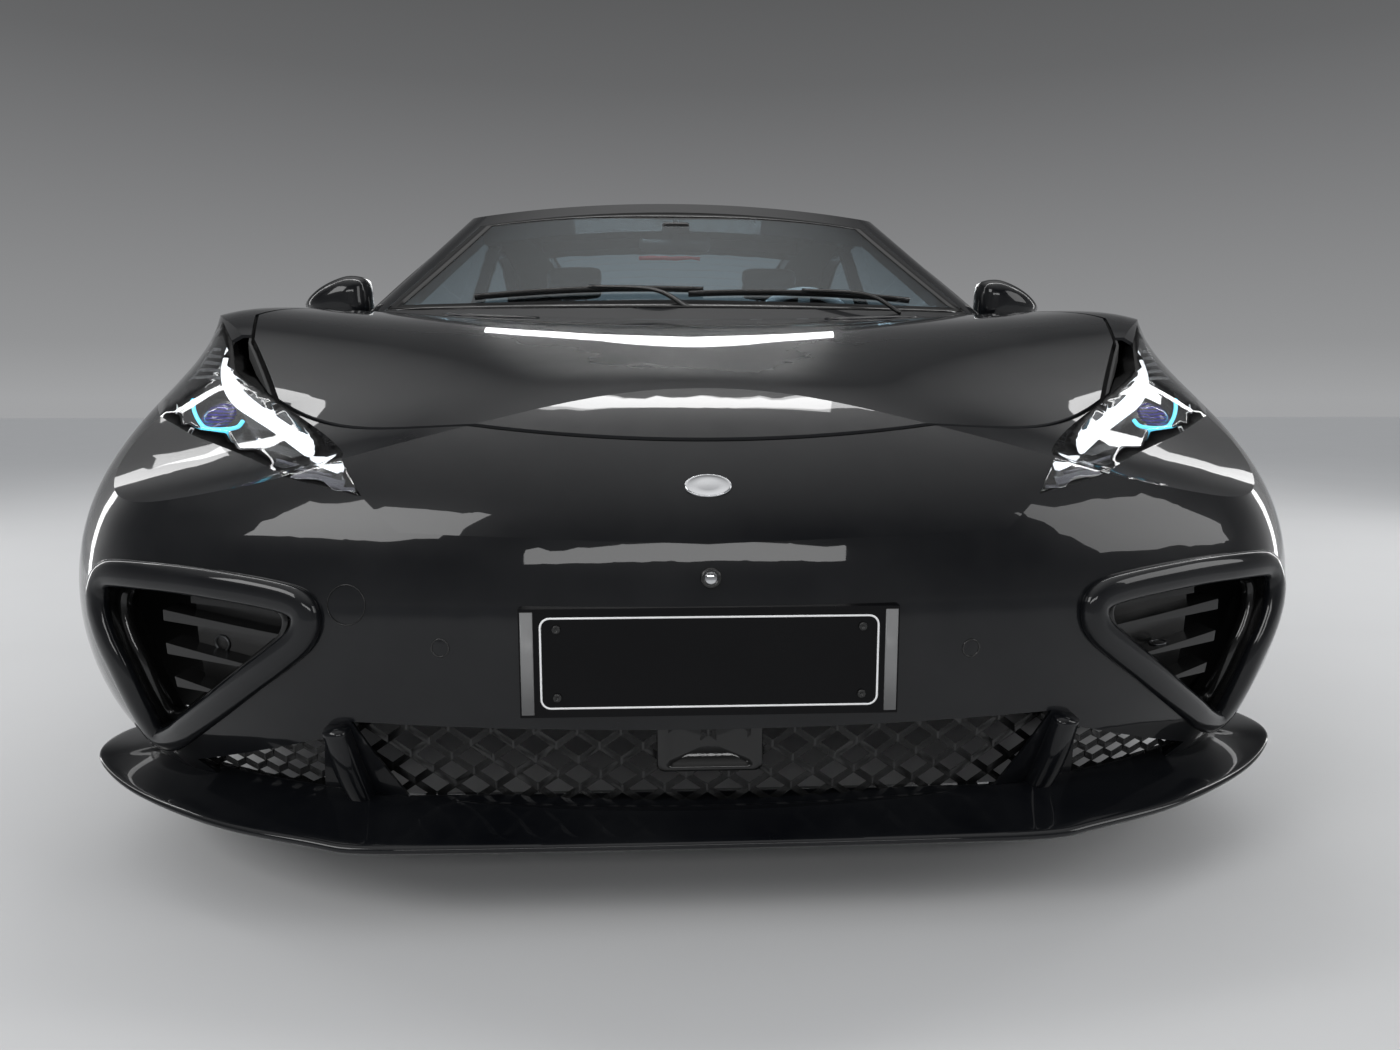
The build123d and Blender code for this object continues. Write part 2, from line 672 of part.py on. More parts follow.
def corner_intakes():
    """A thick frame in each corner opening, with a back wall, tapered fins and an open slot outboard."""
    opening = prism("front", INTAKE_FRONT, -2400, BUMPER_JOINT_Y)
    hole = prism("front", INTAKE_FRONT, -2400, BUMPER_JOINT_Y, -INTAKE_FRAME)
    rear = Pos(*INTAKE_REACH) * WALLS
    duct = (opening & WALLS) - (hole & WALLS) - rear
    wall_front = Pos(*INTAKE_WALL) * WALLS
    duct += (opening & box(0, INTAKE_WALL_X, -2400, -1900, 0, 600) & wall_front) - rear
    face = Pos(*FIN_RECESS) * WALLS
    for path in INTAKE_FINS:
        duct += (prism("front", path, -2400, -1900) & face) - rear
    return pair(largest(duct - LINER_SPACE))


def lower_grille():
    """Lattice panels behind the lower openings, seated on the bumper's inner face."""
    back = Pos(0, GRILLE_THICK, 0) * INNER_WALLS
    panel = (prism("front", GRILLE_FRONT, -2400, -2100, GRILLE_LAP) & INNER_WALLS) - back
    side = (prism("front", SIDE_GRILLE_FRONT, -2400, -1950, GRILLE_LAP) & INNER_WALLS) - back
    half, low, high = SENSOR_BOX
    cells = []
    for row, reach in enumerate(LATTICE_X):
        z = LATTICE_Z + row * LATTICE_PITCH[1]
        count = int(reach / LATTICE_PITCH[0])
        for index in range(-count - 1, count + 2):
            x = (index + row % 2 / 2) * LATTICE_PITCH[0]
            if half + LATTICE_CELL[0] / 2 < abs(x) < reach:
                cells.append(diamond(x, z))
    block = box(-half, half, -2400, -2200, low, high)
    opening = prism("front", GRILLE_FRONT, -2400, -2200, -GRILLE_GAP)
    sensor = (block & opening & WALLS) + (block & INNER_WALLS) - Pos(0, 2 * GRILLE_THICK, 0) * WALLS
    return largest((panel - cells) + sensor), pair(largest(side))


def diamond(x, z):
    half_x, half_z = LATTICE_CELL[0] / 2, LATTICE_CELL[1] / 2
    corners = [(x - half_x, z), (x, z + half_z), (x + half_x, z), (x, z - half_z)]
    return prism("front", corners, -2400, -2200)


def front_splitter():
    return prism("plan", SPLITTER_PLAN, *SPLITTER_Z)


def diffuser():
    """Ramp with fins in the rear bumper's lower opening, closed by a strip along its edge."""
    low, thick = DIFFUSER_STRIP
    strip = box(-DIFFUSER_X, DIFFUSER_X, 2200, 2400, low, DIFFUSER_TOP_Z) & WALLS
    strip -= Pos(0, -thick, 0) * WALLS
    panel = prism("side", DIFFUSER_RAMP, -DIFFUSER_X, DIFFUSER_X)
    for x in DIFFUSER_FINS:
        panel += prism("side", DIFFUSER_FIN, x - DIFFUSER_FIN_THICK / 2, x + DIFFUSER_FIN_THICK / 2)
    return largest((panel & WALLS) + strip)


def cowl():
    """Wiper trough, the rail under the windscreen's edge, the bulkhead and the door pillars."""
    floor = prism("plan", TROUGH_PLAN, 800, 806)
    rail_zone = prism("plan", SCREEN_RAIL_PLAN, 780, 1100)
    rail = rail_zone & BODY
    wall = box(-PILLAR_X[1], PILLAR_X[1], BULKHEAD_Y[0], BULKHEAD_Y[1], SILL_TOP_Z, 806)
    wall += box(-700, 700, BULKHEAD_Y[0], BULKHEAD_Y[1], 260, SILL_TOP_Z)
    pillar = box(PILLAR_X[0], PILLAR_X[1], BULKHEAD_Y[0], FENDER_END_Y - 4, SILL_TOP_Z, 880)
    return largest((floor + rail + wall + pair(pillar)) & INSIDE)


def cabin_frame():
    """Pillars, header rails and cant rails, with each window's pocket and flange cut."""
    half_space = box(0, 1100, -1500, 2400, 700, SKY_Z)
    frame = ((HOUSE & half_space) - glasshouse(PILLAR_WALL)) - BODY
    door_outer = prism("side", DOOR_GLASS_SIDE, 300, 1100, SEAL_GAP)
    seal = (door_outer & HOUSE) - glasshouse(GLASS + PANEL_GAP)
    front, rear = DOOR_Y[0] + HEM - PANEL_GAP, DOOR_Y[1] - HEM + DOOR_SWEEP
    foot = box(300, 1100, front, rear, DOOR_SHELF_Z, 960)
    cuts = [seal, prism("side", DOOR_GLASS_SIDE, 300, 1100, -DOOR_GLASS_LAP), foot]
    cuts += [
        prism("side", QUARTER_GLASS_SIDE, 300, 1100) & GLASS_SHELL,
        prism("side", QUARTER_GLASS_SIDE, 300, 1100, -GLASS_FLANGE),
    ]
    for path in (WINDSCREEN_PLAN, ROOF_PLAN, REAR_WINDOW_PLAN):
        cuts.append(prism("plan", path, 700, SKY_Z) & GLASS_SHELL)
        cuts.append(prism("plan", path, 700, SKY_Z, -GLASS_FLANGE))
    return joined(largest(frame - cuts))


def window(path):
    return largest((GLASS_SHELL & prism("plan", path, 700, SKY_Z)) - BODY)


def door():
    """The left door: a thin hemmed skin round a thick core, with two hinge arms."""
    front, rear = DOOR_Y
    skin = SKIN_SHELL & box(DOOR_INNER_X, 1100, front, rear, DOOR_BASE_Z, 1100)
    core = INSIDE & box(DOOR_INNER_X, 1100, front + HEM, rear - HEM, DOOR_BASE_Z, 1100)
    panel = skin + core
    pocket = box(DOOR_INNER_X - 1, DOOR_INNER_X + 30, front + 120, rear - 120, 400, 760)
    panel -= fillet(pocket.edges().filter_by(Axis.X), 60)
    glass_zone = box(600, 1100, front - 1, rear + 1, DOOR_SHELF_Z, over_deck(1300)) & HOUSE
    panel -= glass_zone - glasshouse(DOOR_SLOT)
    for low, high in ((front - 1, front + HEM), (rear - HEM, rear + 1)):
        panel -= glass_zone & box(600, 1100, low, high, 0, over_deck(1300))
    for z in HINGE_Z:
        for shift in (-1, 1):
            panel += hinge_arm(z + shift * (HINGE_LEAF / 2 + 1 + HINGE_ARM / 2))
    return largest(panel)


def hinge_arm(z):
    """A gooseneck plate from the door's core round the wing's edge to the pin."""
    low, high = z - HINGE_ARM / 2, z + HINGE_ARM / 2
    elbow_x, elbow_y = HINGE_X - 88, HINGE_Y + 44
    plate = z_cylinder(12, HINGE_X, HINGE_Y, low, high)
    leg = Vector(elbow_x - HINGE_X, elbow_y - HINGE_Y, 0).normalized()
    side = Vector(-leg.Y, leg.X, 0) * 7
    corners = [
        (HINGE_X + side.X, HINGE_Y + side.Y), (HINGE_X - side.X, HINGE_Y - side.Y),
        (elbow_x - side.X, elbow_y - side.Y), (elbow_x + side.X, elbow_y + side.Y),
    ]
    plate += prism("plan", corners, low, high)
    plate += z_cylinder(7, elbow_x, elbow_y, low, high)
    plate += box(elbow_x - 7, elbow_x + 7, elbow_y, DOOR_Y[0] + HEM, low, high)
    return plate - z_cylinder(HINGE_PIN_R + HINGE_CLEARANCE, HINGE_X, HINGE_Y, low - 5, high + 5)


def hinge_leaves():
    """The body's half of the left door hinges: a leaf from the pillar and the pin."""
    pieces = []
    for z in HINGE_Z:
        low, high = z - HINGE_LEAF / 2, z + HINGE_LEAF / 2
        leaf = box(PILLAR_X[1], HINGE_X, HINGE_Y - 8, HINGE_Y + 8, low, high)
        leaf += z_cylinder(12, HINGE_X, HINGE_Y, low, high)
        reach = HINGE_LEAF / 2 + 1 + HINGE_ARM
        leaf += z_cylinder(HINGE_PIN_R, HINGE_X, HINGE_Y, z - reach, z + reach)
        pieces += [leaf, mirrored(leaf)]
    return pieces


def mirror_housing():
    """The left door mirror: a lofted shell on a short arm from the door's top."""
    sections = []
    for y, x, z, width, height in MIRROR_SECTIONS:
        face = RectangleRounded(width, height, min(width, height) * 0.35)
        sections.append(Pos(x, y, z) * Rot(90, 0, 0) * face)
    shell = Solid.make_loft([section.face().outer_wire() for section in sections], False)
    arm = prism("front", MIRROR_ARM, *MIRROR_ARM_Y)
    return largest((shell + arm) - BODY)


def door_glass():
    return largest(prism("side", DOOR_GLASS_SIDE, 300, 1100) & GLASS_SHELL)


# Running gear, each piece built at the wheel's middle with outboard along +X


def tyre():
    half, seat = TYRE_HALF_WIDTH, RIM_SEAT_R
    bead = RIM_HALF_WIDTH - 11
    lip, crown = RIM_LIP_R + 1, TYRE_R - 2
    bulge, wall, shoulder = [lip + (TYRE_R - lip) * share for share in TYRE_WALL_SHARES]
    path = [
        (-bead, seat), (-bead, lip),
        ((-half, bulge), (-half + 5, wall)), ((-half + 12, shoulder), (-96, crown)),
        ((0, TYRE_R), (96, crown)), ((half - 12, shoulder), (half - 5, wall)),
        ((half, bulge), (bead, lip)),
        (bead, seat),
    ]
    return revolve(make_face(outline(path)), Axis.X, 360)


def rim():
    half, wall = RIM_HALF_WIDTH, RIM_WALL
    path = [
        (-half, RIM_LIP_R), (-half + 10, RIM_LIP_R), (-half + 11, RIM_SEAT_R), (half - 11, RIM_SEAT_R),
        (half - 10, RIM_LIP_R), (half, RIM_LIP_R), (half, RIM_LIP_R - 14), (half - 12, RIM_SEAT_R - wall),
        (-half, RIM_SEAT_R - wall),
    ]
    barrel = revolve(make_face(outline(path)), Axis.X, 360)
    hub = x_cylinder(HUB_R, 0, 0, HUB_FACE_X, HUB_FACE_X + 35)
    wheel = barrel + hub
    for index in range(SPOKES):
        for lean in (-SPOKE_SPLAY, SPOKE_SPLAY):
            root = Pos(HUB_FACE_X + 18, 0, SPOKE_ROOT_R) * Rectangle(*SPOKE_ROOT)
            tip = Pos(RIM_HALF_WIDTH - 24, 0, RIM_SEAT_R - 4) * Rectangle(*SPOKE_TIP)
            wheel += Rot(360 / SPOKES * index + lean, 0, 0) * loft([root, tip])
    wheel -= x_cylinder(SPINDLE_R + SPINDLE_CLEARANCE, 0, 0, HUB_FACE_X - 5, HUB_FACE_X + 22)
    for index in range(BOLTS):
        turn = radians(360 / BOLTS * (index + 0.5))
        hole = x_cylinder(BOLT_HOLE_R, BOLT_CIRCLE_R * sin(turn), BOLT_CIRCLE_R * cos(turn), 0, 120)
        wheel -= hole
    return largest(wheel)


def disc():
    plate = x_cylinder(DISC_R, 0, 0, *DISC_X) - x_cylinder(DISC_R + 1, 0, 0, DISC_X[0] + 10, DISC_X[1] - 10)
    hat = x_cylinder(88, 0, 0, DISC_X[0], HUB_FACE_X) - x_cylinder(80, 0, 0, DISC_X[0] - 1, HUB_FACE_X - 8)
    web = x_cylinder(110, 0, 0, DISC_X[0], DISC_X[1]) - x_cylinder(85, 0, 0, 0, 60)
    ring = plate - x_cylinder(84, 0, 0, 0, 60)
    return largest(ring + web + hat - x_cylinder(SPINDLE_R + SPINDLE_CLEARANCE, 0, 0, 0, 60))


def carrier():
    """Upright with its spindle, brake caliper and the pins that the wishbones hold."""
    x0, x1 = -KINGPIN_OFFSET - 22, -KINGPIN_OFFSET + 20
    low, high = BALL_JOINT_Z[0] - TYRE_R, BALL_JOINT_Z[1] - TYRE_R
    upright = box(x0, x1 - 2, -28, 28, low + 14, high - 14) + x_cylinder(62, 0, 0, x0, x1 - 2)
    upright += x_cylinder(SPINDLE_R, 0, 0, x1 - 10, HUB_FACE_X + 20)
    caliper = box(-14, 48, 105, 200, -75, 75) & x_cylinder(205, 0, 0, -20, 60)
    caliper -= x_cylinder(DISC_R + 5, 0, 0, DISC_X[0] - 5, DISC_X[1] + 5)
    caliper -= x_cylinder(112, 0, 0, -30, 60)
    upright += caliper + box(-30, -6, 30, 150, -30, 30)
    upright += z_cylinder(KINGPIN_R, -KINGPIN_OFFSET, 0, low - 12, high + 12)
    return largest(upright)


def control_arms(track, axle):
    """Upper and lower wishbones on the left, each ending in an eye round the upright's pin."""
    pin_x = track / 2 - KINGPIN_OFFSET
    arms = None
    for z in BALL_JOINT_Z:
        eye = z_cylinder(KINGPIN_R + 10, pin_x, axle, z - 10, z + 10)
        arm = eye
        for spread in (-ARM_SPREAD, ARM_SPREAD):
            arm += tube_between((ARM_INNER_X - 20, axle + spread, z), (pin_x, axle, z), ARM_TUBE_R * 0.7)
        arm -= z_cylinder(KINGPIN_R + KINGPIN_CLEARANCE, pin_x, axle, z - 20, z + 20)
        arms = arm if arms is None else arms + arm
    return arms


def subframe(axle):
    """A rectangular frame between the wheels that carries the wishbones."""
    rail_x = ARM_INNER_X - 5
    low, high = BALL_JOINT_Z[0] - SUBFRAME_BELOW, BALL_JOINT_Z[1] + SUBFRAME_ABOVE
    frame = pair(box(rail_x - 30, rail_x + 30, axle - 180, axle + 180, low, high))
    frame -= box(-600, 600, axle - 120, axle + 120, low + SUBFRAME_RAIL, high - SUBFRAME_RAIL)
    for y in (-150, 150):
        frame += box(-rail_x, rail_x, axle + y - 25, axle + y + 25, low + 10, low + 70)
    return frame


def chassis_rails(y0, y1, beam_half, beam_y0, beam_y1):
    """A pair of rails that meet the cabin at one end and a bumper beam at the other."""
    rail_x = ARM_INNER_X - 5
    rails = pair(box(rail_x - 30, rail_x + 30, y0, y1, 400, 460))
    for axle in (FRONT_AXLE_Y, REAR_AXLE_Y):
        rails -= box(-700, 700, axle - 180, axle + 180, 300, 600)
    beam = INSIDE & box(-beam_half, beam_half, beam_y0, beam_y1, 390, 470)
    return rails + beam


def rear_shelf():
    """Panel behind the rear seat, parcel shelf and the rail and channel under the rear window."""
    shelf = box(-1000, 1000, 990, 1735, 860, 866) & INSIDE
    back = box(-689, 689, 990, 996, 520, 866)
    channel = box(-596, 596, 1729, 1815, 900, 936)
    rail_path = [(-596, 1640), ((0, 1690), (596, 1640)), (596, 1735), ((0, 1766), (-596, 1735))]
    rail = INSIDE & prism("plan", rail_path, 860, 1100)
    return largest(shelf + back + channel + rail)


def number_plate():
    return box(-240, 240, NOSE_Y, NOSE_Y + 60, 300, 440) - BODY


def underbody():
    y0, y1, half, z0, z1 = PACK
    pack = box(-half, half, y0, y1, z0, z1)
    pack = chamfer(pack.edges().filter_by(Axis.Z), 60)
    floor = box(-700, 700, BULKHEAD_Y[0], 1000, z1, z1 + FLOOR)
    floor += box(-689, 689, 1000 - FLOOR, 1000, z1, 520)
    floor -= LINER_SPACE
    return pack, largest(floor)


def column_axis():
    """Places a shape at the steering wheel's centre, with +Z towards the driver."""
    x, y, z = STEER_WHEEL
    return Pos(x, y, z) * Rot(-(90 - STEER_TILT), 0, 0)


def dashboard():
    panel = prism("side", DASH_SIDE, -PILLAR_X[0], PILLAR_X[0])
    panel = panel - prism("plan", SCREEN_RAIL_PLAN, 780, 1100) - prism("plan", TROUGH_PLAN, 800, 1100)
    return panel - column_axis() * Pos(0, 0, -60) * Cylinder(COLUMN_R + SPINDLE_CLEARANCE, 160)


def console():
    return prism("side", CONSOLE_SIDE, -CONSOLE_X, CONSOLE_X)


def front_seat():
    """Cushion, back and head pad of one front seat on its two runners."""
    seat = box(-60, 60, 215, 275, 1040, 1090)
    for path, half in SEAT_SIDE:
        seat += prism("side", path, -half, half)
    for x in (-210, 180):
        seat += box(x, x + 30, -420, 100, SEAT_BASE_Z, SEAT_BASE_Z + 50)
    return seat


def rear_seat():
    return prism("side", REAR_SEAT_SIDE, -REAR_SEAT_X, REAR_SEAT_X)


def steering_wheel():
    wheel = Torus(STEER_WHEEL_R - 15, 15) + Cylinder(60, 30)
    for turn in (0, 180, 270):
        wheel += Rot(0, 0, turn) * Pos(STEER_WHEEL_R / 2, 0, 0) * Box(STEER_WHEEL_R - 20, 34, 14)
    wheel += Pos(0, 0, -60) * Cylinder(COLUMN_R, 120)
    return column_axis() * wheel


def main():
    pieces = skins()
    for node, shape in pieces.items():
        save(node, shape)
    save("arch_liners", *arch_liners())
    save("bonnet", bonnet())
    save("boot_lid", boot_lid())
    save("front_tub", front_tub())
    save("boot_tub", boot_tub())
    save("cowl_and_bulkhead", cowl())
    save("cabin_frame", cabin_frame())
    save("windscreen", window(WINDSCREEN_PLAN))
    save("roof_panel", window(ROOF_PLAN))
    save("rear_window", window(REAR_WINDOW_PLAN))
    save("quarter_glass", pair(largest(prism("side", QUARTER_GLASS_SIDE, 300, 1100) & GLASS_SHELL)))
    left_door, left_glass, left_mirror = door(), door_glass(), mirror_housing()
    save("door_left", left_door)
    save("door_right", mirrored(left_door))
    save("door_glass_left", left_glass)
    save("door_glass_right", mirrored(left_glass))
    save("mirror_left", left_mirror)
    save("mirror_right", mirrored(left_mirror))
    bonnet_brackets = hinge_brackets(BONNET_HINGE, (-LID_HINGE_X[0], LID_HINGE_X[0]), 806)
    lid_brackets = hinge_brackets(LID_HINGE, (-LID_HINGE_X[1], LID_HINGE_X[1]), 936)
    save("hinges", *hinge_leaves(), *bonnet_brackets, *lid_brackets)
    save("headlamps", headlamps())
    tail_zone = prism("front", TAIL_LAMP_REAR, TAIL_LAMP_Y, 2500) & BODY
    save("tail_lamp", tail_zone - Pos(0, -LAMP_DEPTH, 0) * BODY)
    save("corner_intakes", corner_intakes())
    save("lower_grille", *lower_grille())
    save("front_splitter", front_splitter())
    save("diffuser", diffuser())
    wheel_tyre, wheel_rim, wheel_disc = tyre(), rim(), disc()
    for end, axle, track in (("front", FRONT_AXLE_Y, FRONT_TRACK), ("rear", REAR_AXLE_Y, REAR_TRACK)):
        place = Pos(track / 2, axle, TYRE_R)
        for name, shape in (("tyre", wheel_tyre), ("rim", wheel_rim), ("brake_disc", wheel_disc)):
            save(f"{name}_{end}_left", place * shape)
            save(f"{name}_{end}_right", mirrored(place * shape))
    knuckle = Pos(FRONT_TRACK / 2, FRONT_AXLE_Y, TYRE_R) * carrier()
    save("knuckle_left", knuckle)
    save("knuckle_right", mirrored(knuckle))
    rear_carrier = Pos(REAR_TRACK / 2, REAR_AXLE_Y, TYRE_R) * carrier()
    save("rear_uprights", pair(rear_carrier))
    save("front_rails", chassis_rails(-2250, BULKHEAD_Y[0], FRONT_BEAM_HALF, -2450, -2240))
    save("rear_rails", chassis_rails(1000, 2250, REAR_BEAM_HALF, 2240, 2450))
    save("rear_shelf", rear_shelf())
    save("number_plate", number_plate())
    save("drive_unit", box(-250, 250, REAR_AXLE_Y - 140, REAR_AXLE_Y + 140, 240, 520))
    save("front_suspension", subframe(FRONT_AXLE_Y) + pair(control_arms(FRONT_TRACK, FRONT_AXLE_Y)))
    save("rear_suspension", subframe(REAR_AXLE_Y) + pair(control_arms(REAR_TRACK, REAR_AXLE_Y)))
    pack, floor = underbody()
    save("battery_pack", pack)
    save("floor_pan", floor)
    save("dashboard", dashboard())
    save("centre_console", console())
    save("front_seats", pair(Pos(SEAT_X, 0, 0) * front_seat()))
    save("rear_seat", rear_seat())
    save("steering_wheel", steering_wheel())


main()
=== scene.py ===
"""Looks of the two-door electric sports coupe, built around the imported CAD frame."""

import json
import math

import bmesh
import bpy
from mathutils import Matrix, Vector
from mathutils.bvhtree import BVHTree


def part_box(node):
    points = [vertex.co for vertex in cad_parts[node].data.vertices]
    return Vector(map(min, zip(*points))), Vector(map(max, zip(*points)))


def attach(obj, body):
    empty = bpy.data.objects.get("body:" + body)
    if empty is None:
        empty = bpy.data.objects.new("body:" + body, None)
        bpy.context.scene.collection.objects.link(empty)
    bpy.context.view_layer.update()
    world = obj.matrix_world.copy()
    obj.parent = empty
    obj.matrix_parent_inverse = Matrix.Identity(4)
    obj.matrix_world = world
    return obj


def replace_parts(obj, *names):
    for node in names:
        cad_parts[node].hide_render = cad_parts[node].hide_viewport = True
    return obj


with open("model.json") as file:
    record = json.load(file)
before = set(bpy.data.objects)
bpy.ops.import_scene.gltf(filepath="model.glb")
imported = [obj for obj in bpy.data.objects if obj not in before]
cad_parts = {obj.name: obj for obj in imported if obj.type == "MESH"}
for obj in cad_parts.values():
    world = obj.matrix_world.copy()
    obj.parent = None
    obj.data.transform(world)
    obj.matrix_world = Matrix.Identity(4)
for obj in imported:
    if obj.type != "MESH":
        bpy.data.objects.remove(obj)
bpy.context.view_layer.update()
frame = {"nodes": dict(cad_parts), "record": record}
NODES = frame["nodes"]
SCENE = bpy.context.scene
SIDES = ((1, "left"), (-1, "right"))
ACROSS, ALONG, UP = Vector((1, 0, 0)), Vector((0, 1, 0)), Vector((0, 0, 1))

# The photograph's frame and its fitted camera
PHOTO_W, PHOTO_H, FOCAL_PX = 1400, 1050, 930.0
SENSOR = 36.0
EYE = Vector((-0.067, -3.495, 0.70))
PITCH_DEG, YAW_DEG = 7.78, 2.7


def add_camera():
    data = bpy.data.cameras.new("camera")
    data.sensor_width = SENSOR
    data.lens = FOCAL_PX / PHOTO_W * SENSOR
    data.clip_start, data.clip_end = 0.05, 100
    cam = bpy.data.objects.new("camera", data)
    cam.location = EYE
    cam.rotation_euler = (math.radians(90 - PITCH_DEG), 0, math.radians(-YAW_DEG))
    SCENE.collection.objects.link(cam)
    SCENE.camera = cam
    bpy.context.view_layer.update()
    return cam


CAMERA = add_camera()


def pixel_ray(u, v):
    """Direction through a pixel of the photograph."""
    local = Vector(((u - PHOTO_W / 2) / FOCAL_PX, (PHOTO_H / 2 - v) / FOCAL_PX, -1))
    return (CAMERA.matrix_world.to_3x3() @ local).normalized()


# Materials


class Mat:
    """A procedural material with a Principled shader and a few helpers."""

    def __init__(self, name, color, rough, metal=0.0, **sockets):
        self.mat = bpy.data.materials.new(name)
        self.mat.use_nodes = True
        self.tree = self.mat.node_tree
        self.bsdf = self.tree.nodes["Principled BSDF"]
        self.bsdf.inputs["Base Color"].default_value = (*color, 1)
        self.bsdf.inputs["Roughness"].default_value = rough
        self.bsdf.inputs["Metallic"].default_value = metal
        for key, value in sockets.items():
            self.bsdf.inputs[key.replace("_", " ")].default_value = value
        self.coord = self.tree.nodes.new("ShaderNodeTexCoord").outputs["Object"]
        self.height = None

    def node(self, kind, **inputs):
        made = self.tree.nodes.new(kind)
        for key, value in inputs.items():
            made.inputs[key.replace("_", " ")].default_value = value
        return made

    def link(self, a, b):
        self.tree.links.new(a, b)

    def noise(self, scale, detail=3.0, rough=0.5):
        tex = self.node("ShaderNodeTexNoise", Scale=scale, Detail=detail, Roughness=rough)
        self.link(self.coord, tex.inputs["Vector"])
        return tex.outputs["Fac"]

    def cells(self, scale, feature="F1"):
        tex = self.node("ShaderNodeTexVoronoi", Scale=scale)
        tex.feature = feature
        self.link(self.coord, tex.inputs["Vector"])
        return tex.outputs["Distance"]

    def waves(self, scale, axis="X", distort=0.0):
        tex = self.node("ShaderNodeTexWave", Scale=scale, Distortion=distort)
        tex.bands_direction = axis
        self.link(self.coord, tex.inputs["Vector"])
        return tex.outputs["Fac"]

    def ramp(self, fac, low, high, a=0.0, b=1.0):
        made = self.node("ShaderNodeMapRange", From_Min=low, From_Max=high, To_Min=a, To_Max=b)
        self.link(fac, made.inputs["Value"])
        return made.outputs["Result"]

    def tint(self, fac, a, b):
        made = self.tree.nodes.new("ShaderNodeMix")
        made.data_type = "RGBA"
        self.link(fac, made.inputs["Factor"])
        for index, color in ((6, a), (7, b)):
            made.inputs[index].default_value = (*color, 1)
        self.link(made.outputs[2], self.bsdf.inputs["Base Color"])

    def roughness(self, fac, a, b):
        self.link(self.ramp(fac, 0.0, 1.0, a, b), self.bsdf.inputs["Roughness"])

    def bump(self, fac, strength, distance):
        made = self.node("ShaderNodeBump", Strength=strength, Distance=distance)
        self.link(fac, made.inputs["Height"])
        if self.height is not None:
            self.link(self.height, made.inputs["Normal"])
        self.height = made.outputs["Normal"]
        self.link(self.height, self.bsdf.inputs["Normal"])


def finish(name, color, rough, metal=0.0, wear=None, spread=None, tint=None, roughness=None, bumps=(), **sockets):
    """A material whose colour and roughness follow one pattern; bumps are (strength, distance, pattern...)."""
    m = Mat(name, color, rough, metal, **sockets)
    fac = getattr(m, wear[0])(*wear[1:]) if wear else None
    if tint:
        m.tint(m.ramp(fac, *spread) if spread else fac, *tint)
    if roughness:
        m.roughness(fac, *roughness)
    for strength, distance, kind, *pattern in bumps:
        m.bump(getattr(m, kind)(*pattern), strength, distance)
    return m


def grey(shade):
    return (shade, shade, shade)


def scaled(color, share):
    return tuple(c * share for c in color)


def plastic(name, shade, low, high, grain=900):
    return finish(name, grey(shade), low, wear=("noise", 9, 4), tint=(grey(shade * 0.8), grey(shade * 1.3)),
                  roughness=(low, high), bumps=[(0.12, 0.0004, "cells", grain)])


def metal(name, color, low, high, grain=300, strength=0.1):
    return finish(name, color, low, 1.0, ("noise", 14, 5), tint=(scaled(color, 0.7), color), roughness=(low, high),
                  bumps=[(strength, 0.0004, "noise", grain, 2, 0.6)])


def leather(name, shade, high):
    return finish(name, grey(shade), 0.5, wear=("noise", 7, 5),
                  tint=((shade * 0.8, shade * 0.8, shade * 0.85), (shade * 1.25, shade * 1.22, shade * 1.2)),
                  roughness=(0.38, high),
                  bumps=[(0.3, 0.0006, "cells", 520, "SMOOTH_F1"), (0.12, 0.001, "noise", 60, 4)])


def glow(name, color, strength):
    return finish(name, color, 0.2, bumps=[(0.1, 0.0004, "waves", 260, "Z")], Emission_Color=(*color, 1),
                  Emission_Strength=strength)


def lamp_red(name, shade, ribs):
    return finish(name, (shade, 0.004, 0.006), 0.08, wear=("waves", ribs, "X"),
                  tint=((shade * 0.55, 0.002, 0.004), (shade * 1.5, 0.008, 0.01)),
                  bumps=[(0.25, 0.001, "waves", ribs, "X")], Coat_Weight=1.0, Coat_Roughness=0.02)


def glass(name, color, shade):
    """Clear tinted glass; lamps reach what is behind it through the shadow-ray mix."""
    m = finish(name, color, 0.0, bumps=[(0.015, 0.0005, "noise", 5, 4, 0.6)], Transmission_Weight=1.0, IOR=1.45)
    clear = m.node("ShaderNodeBsdfTransparent", Color=(*shade, 1))
    mix = m.tree.nodes.new("ShaderNodeMixShader")
    path = m.tree.nodes.new("ShaderNodeLightPath")
    m.link(path.outputs["Is Shadow Ray"], mix.inputs["Fac"])
    m.link(m.bsdf.outputs["BSDF"], mix.inputs[1])
    m.link(clear.outputs["BSDF"], mix.inputs[2])
    m.link(mix.outputs["Shader"], m.tree.nodes["Material Output"].inputs["Surface"])
    return m


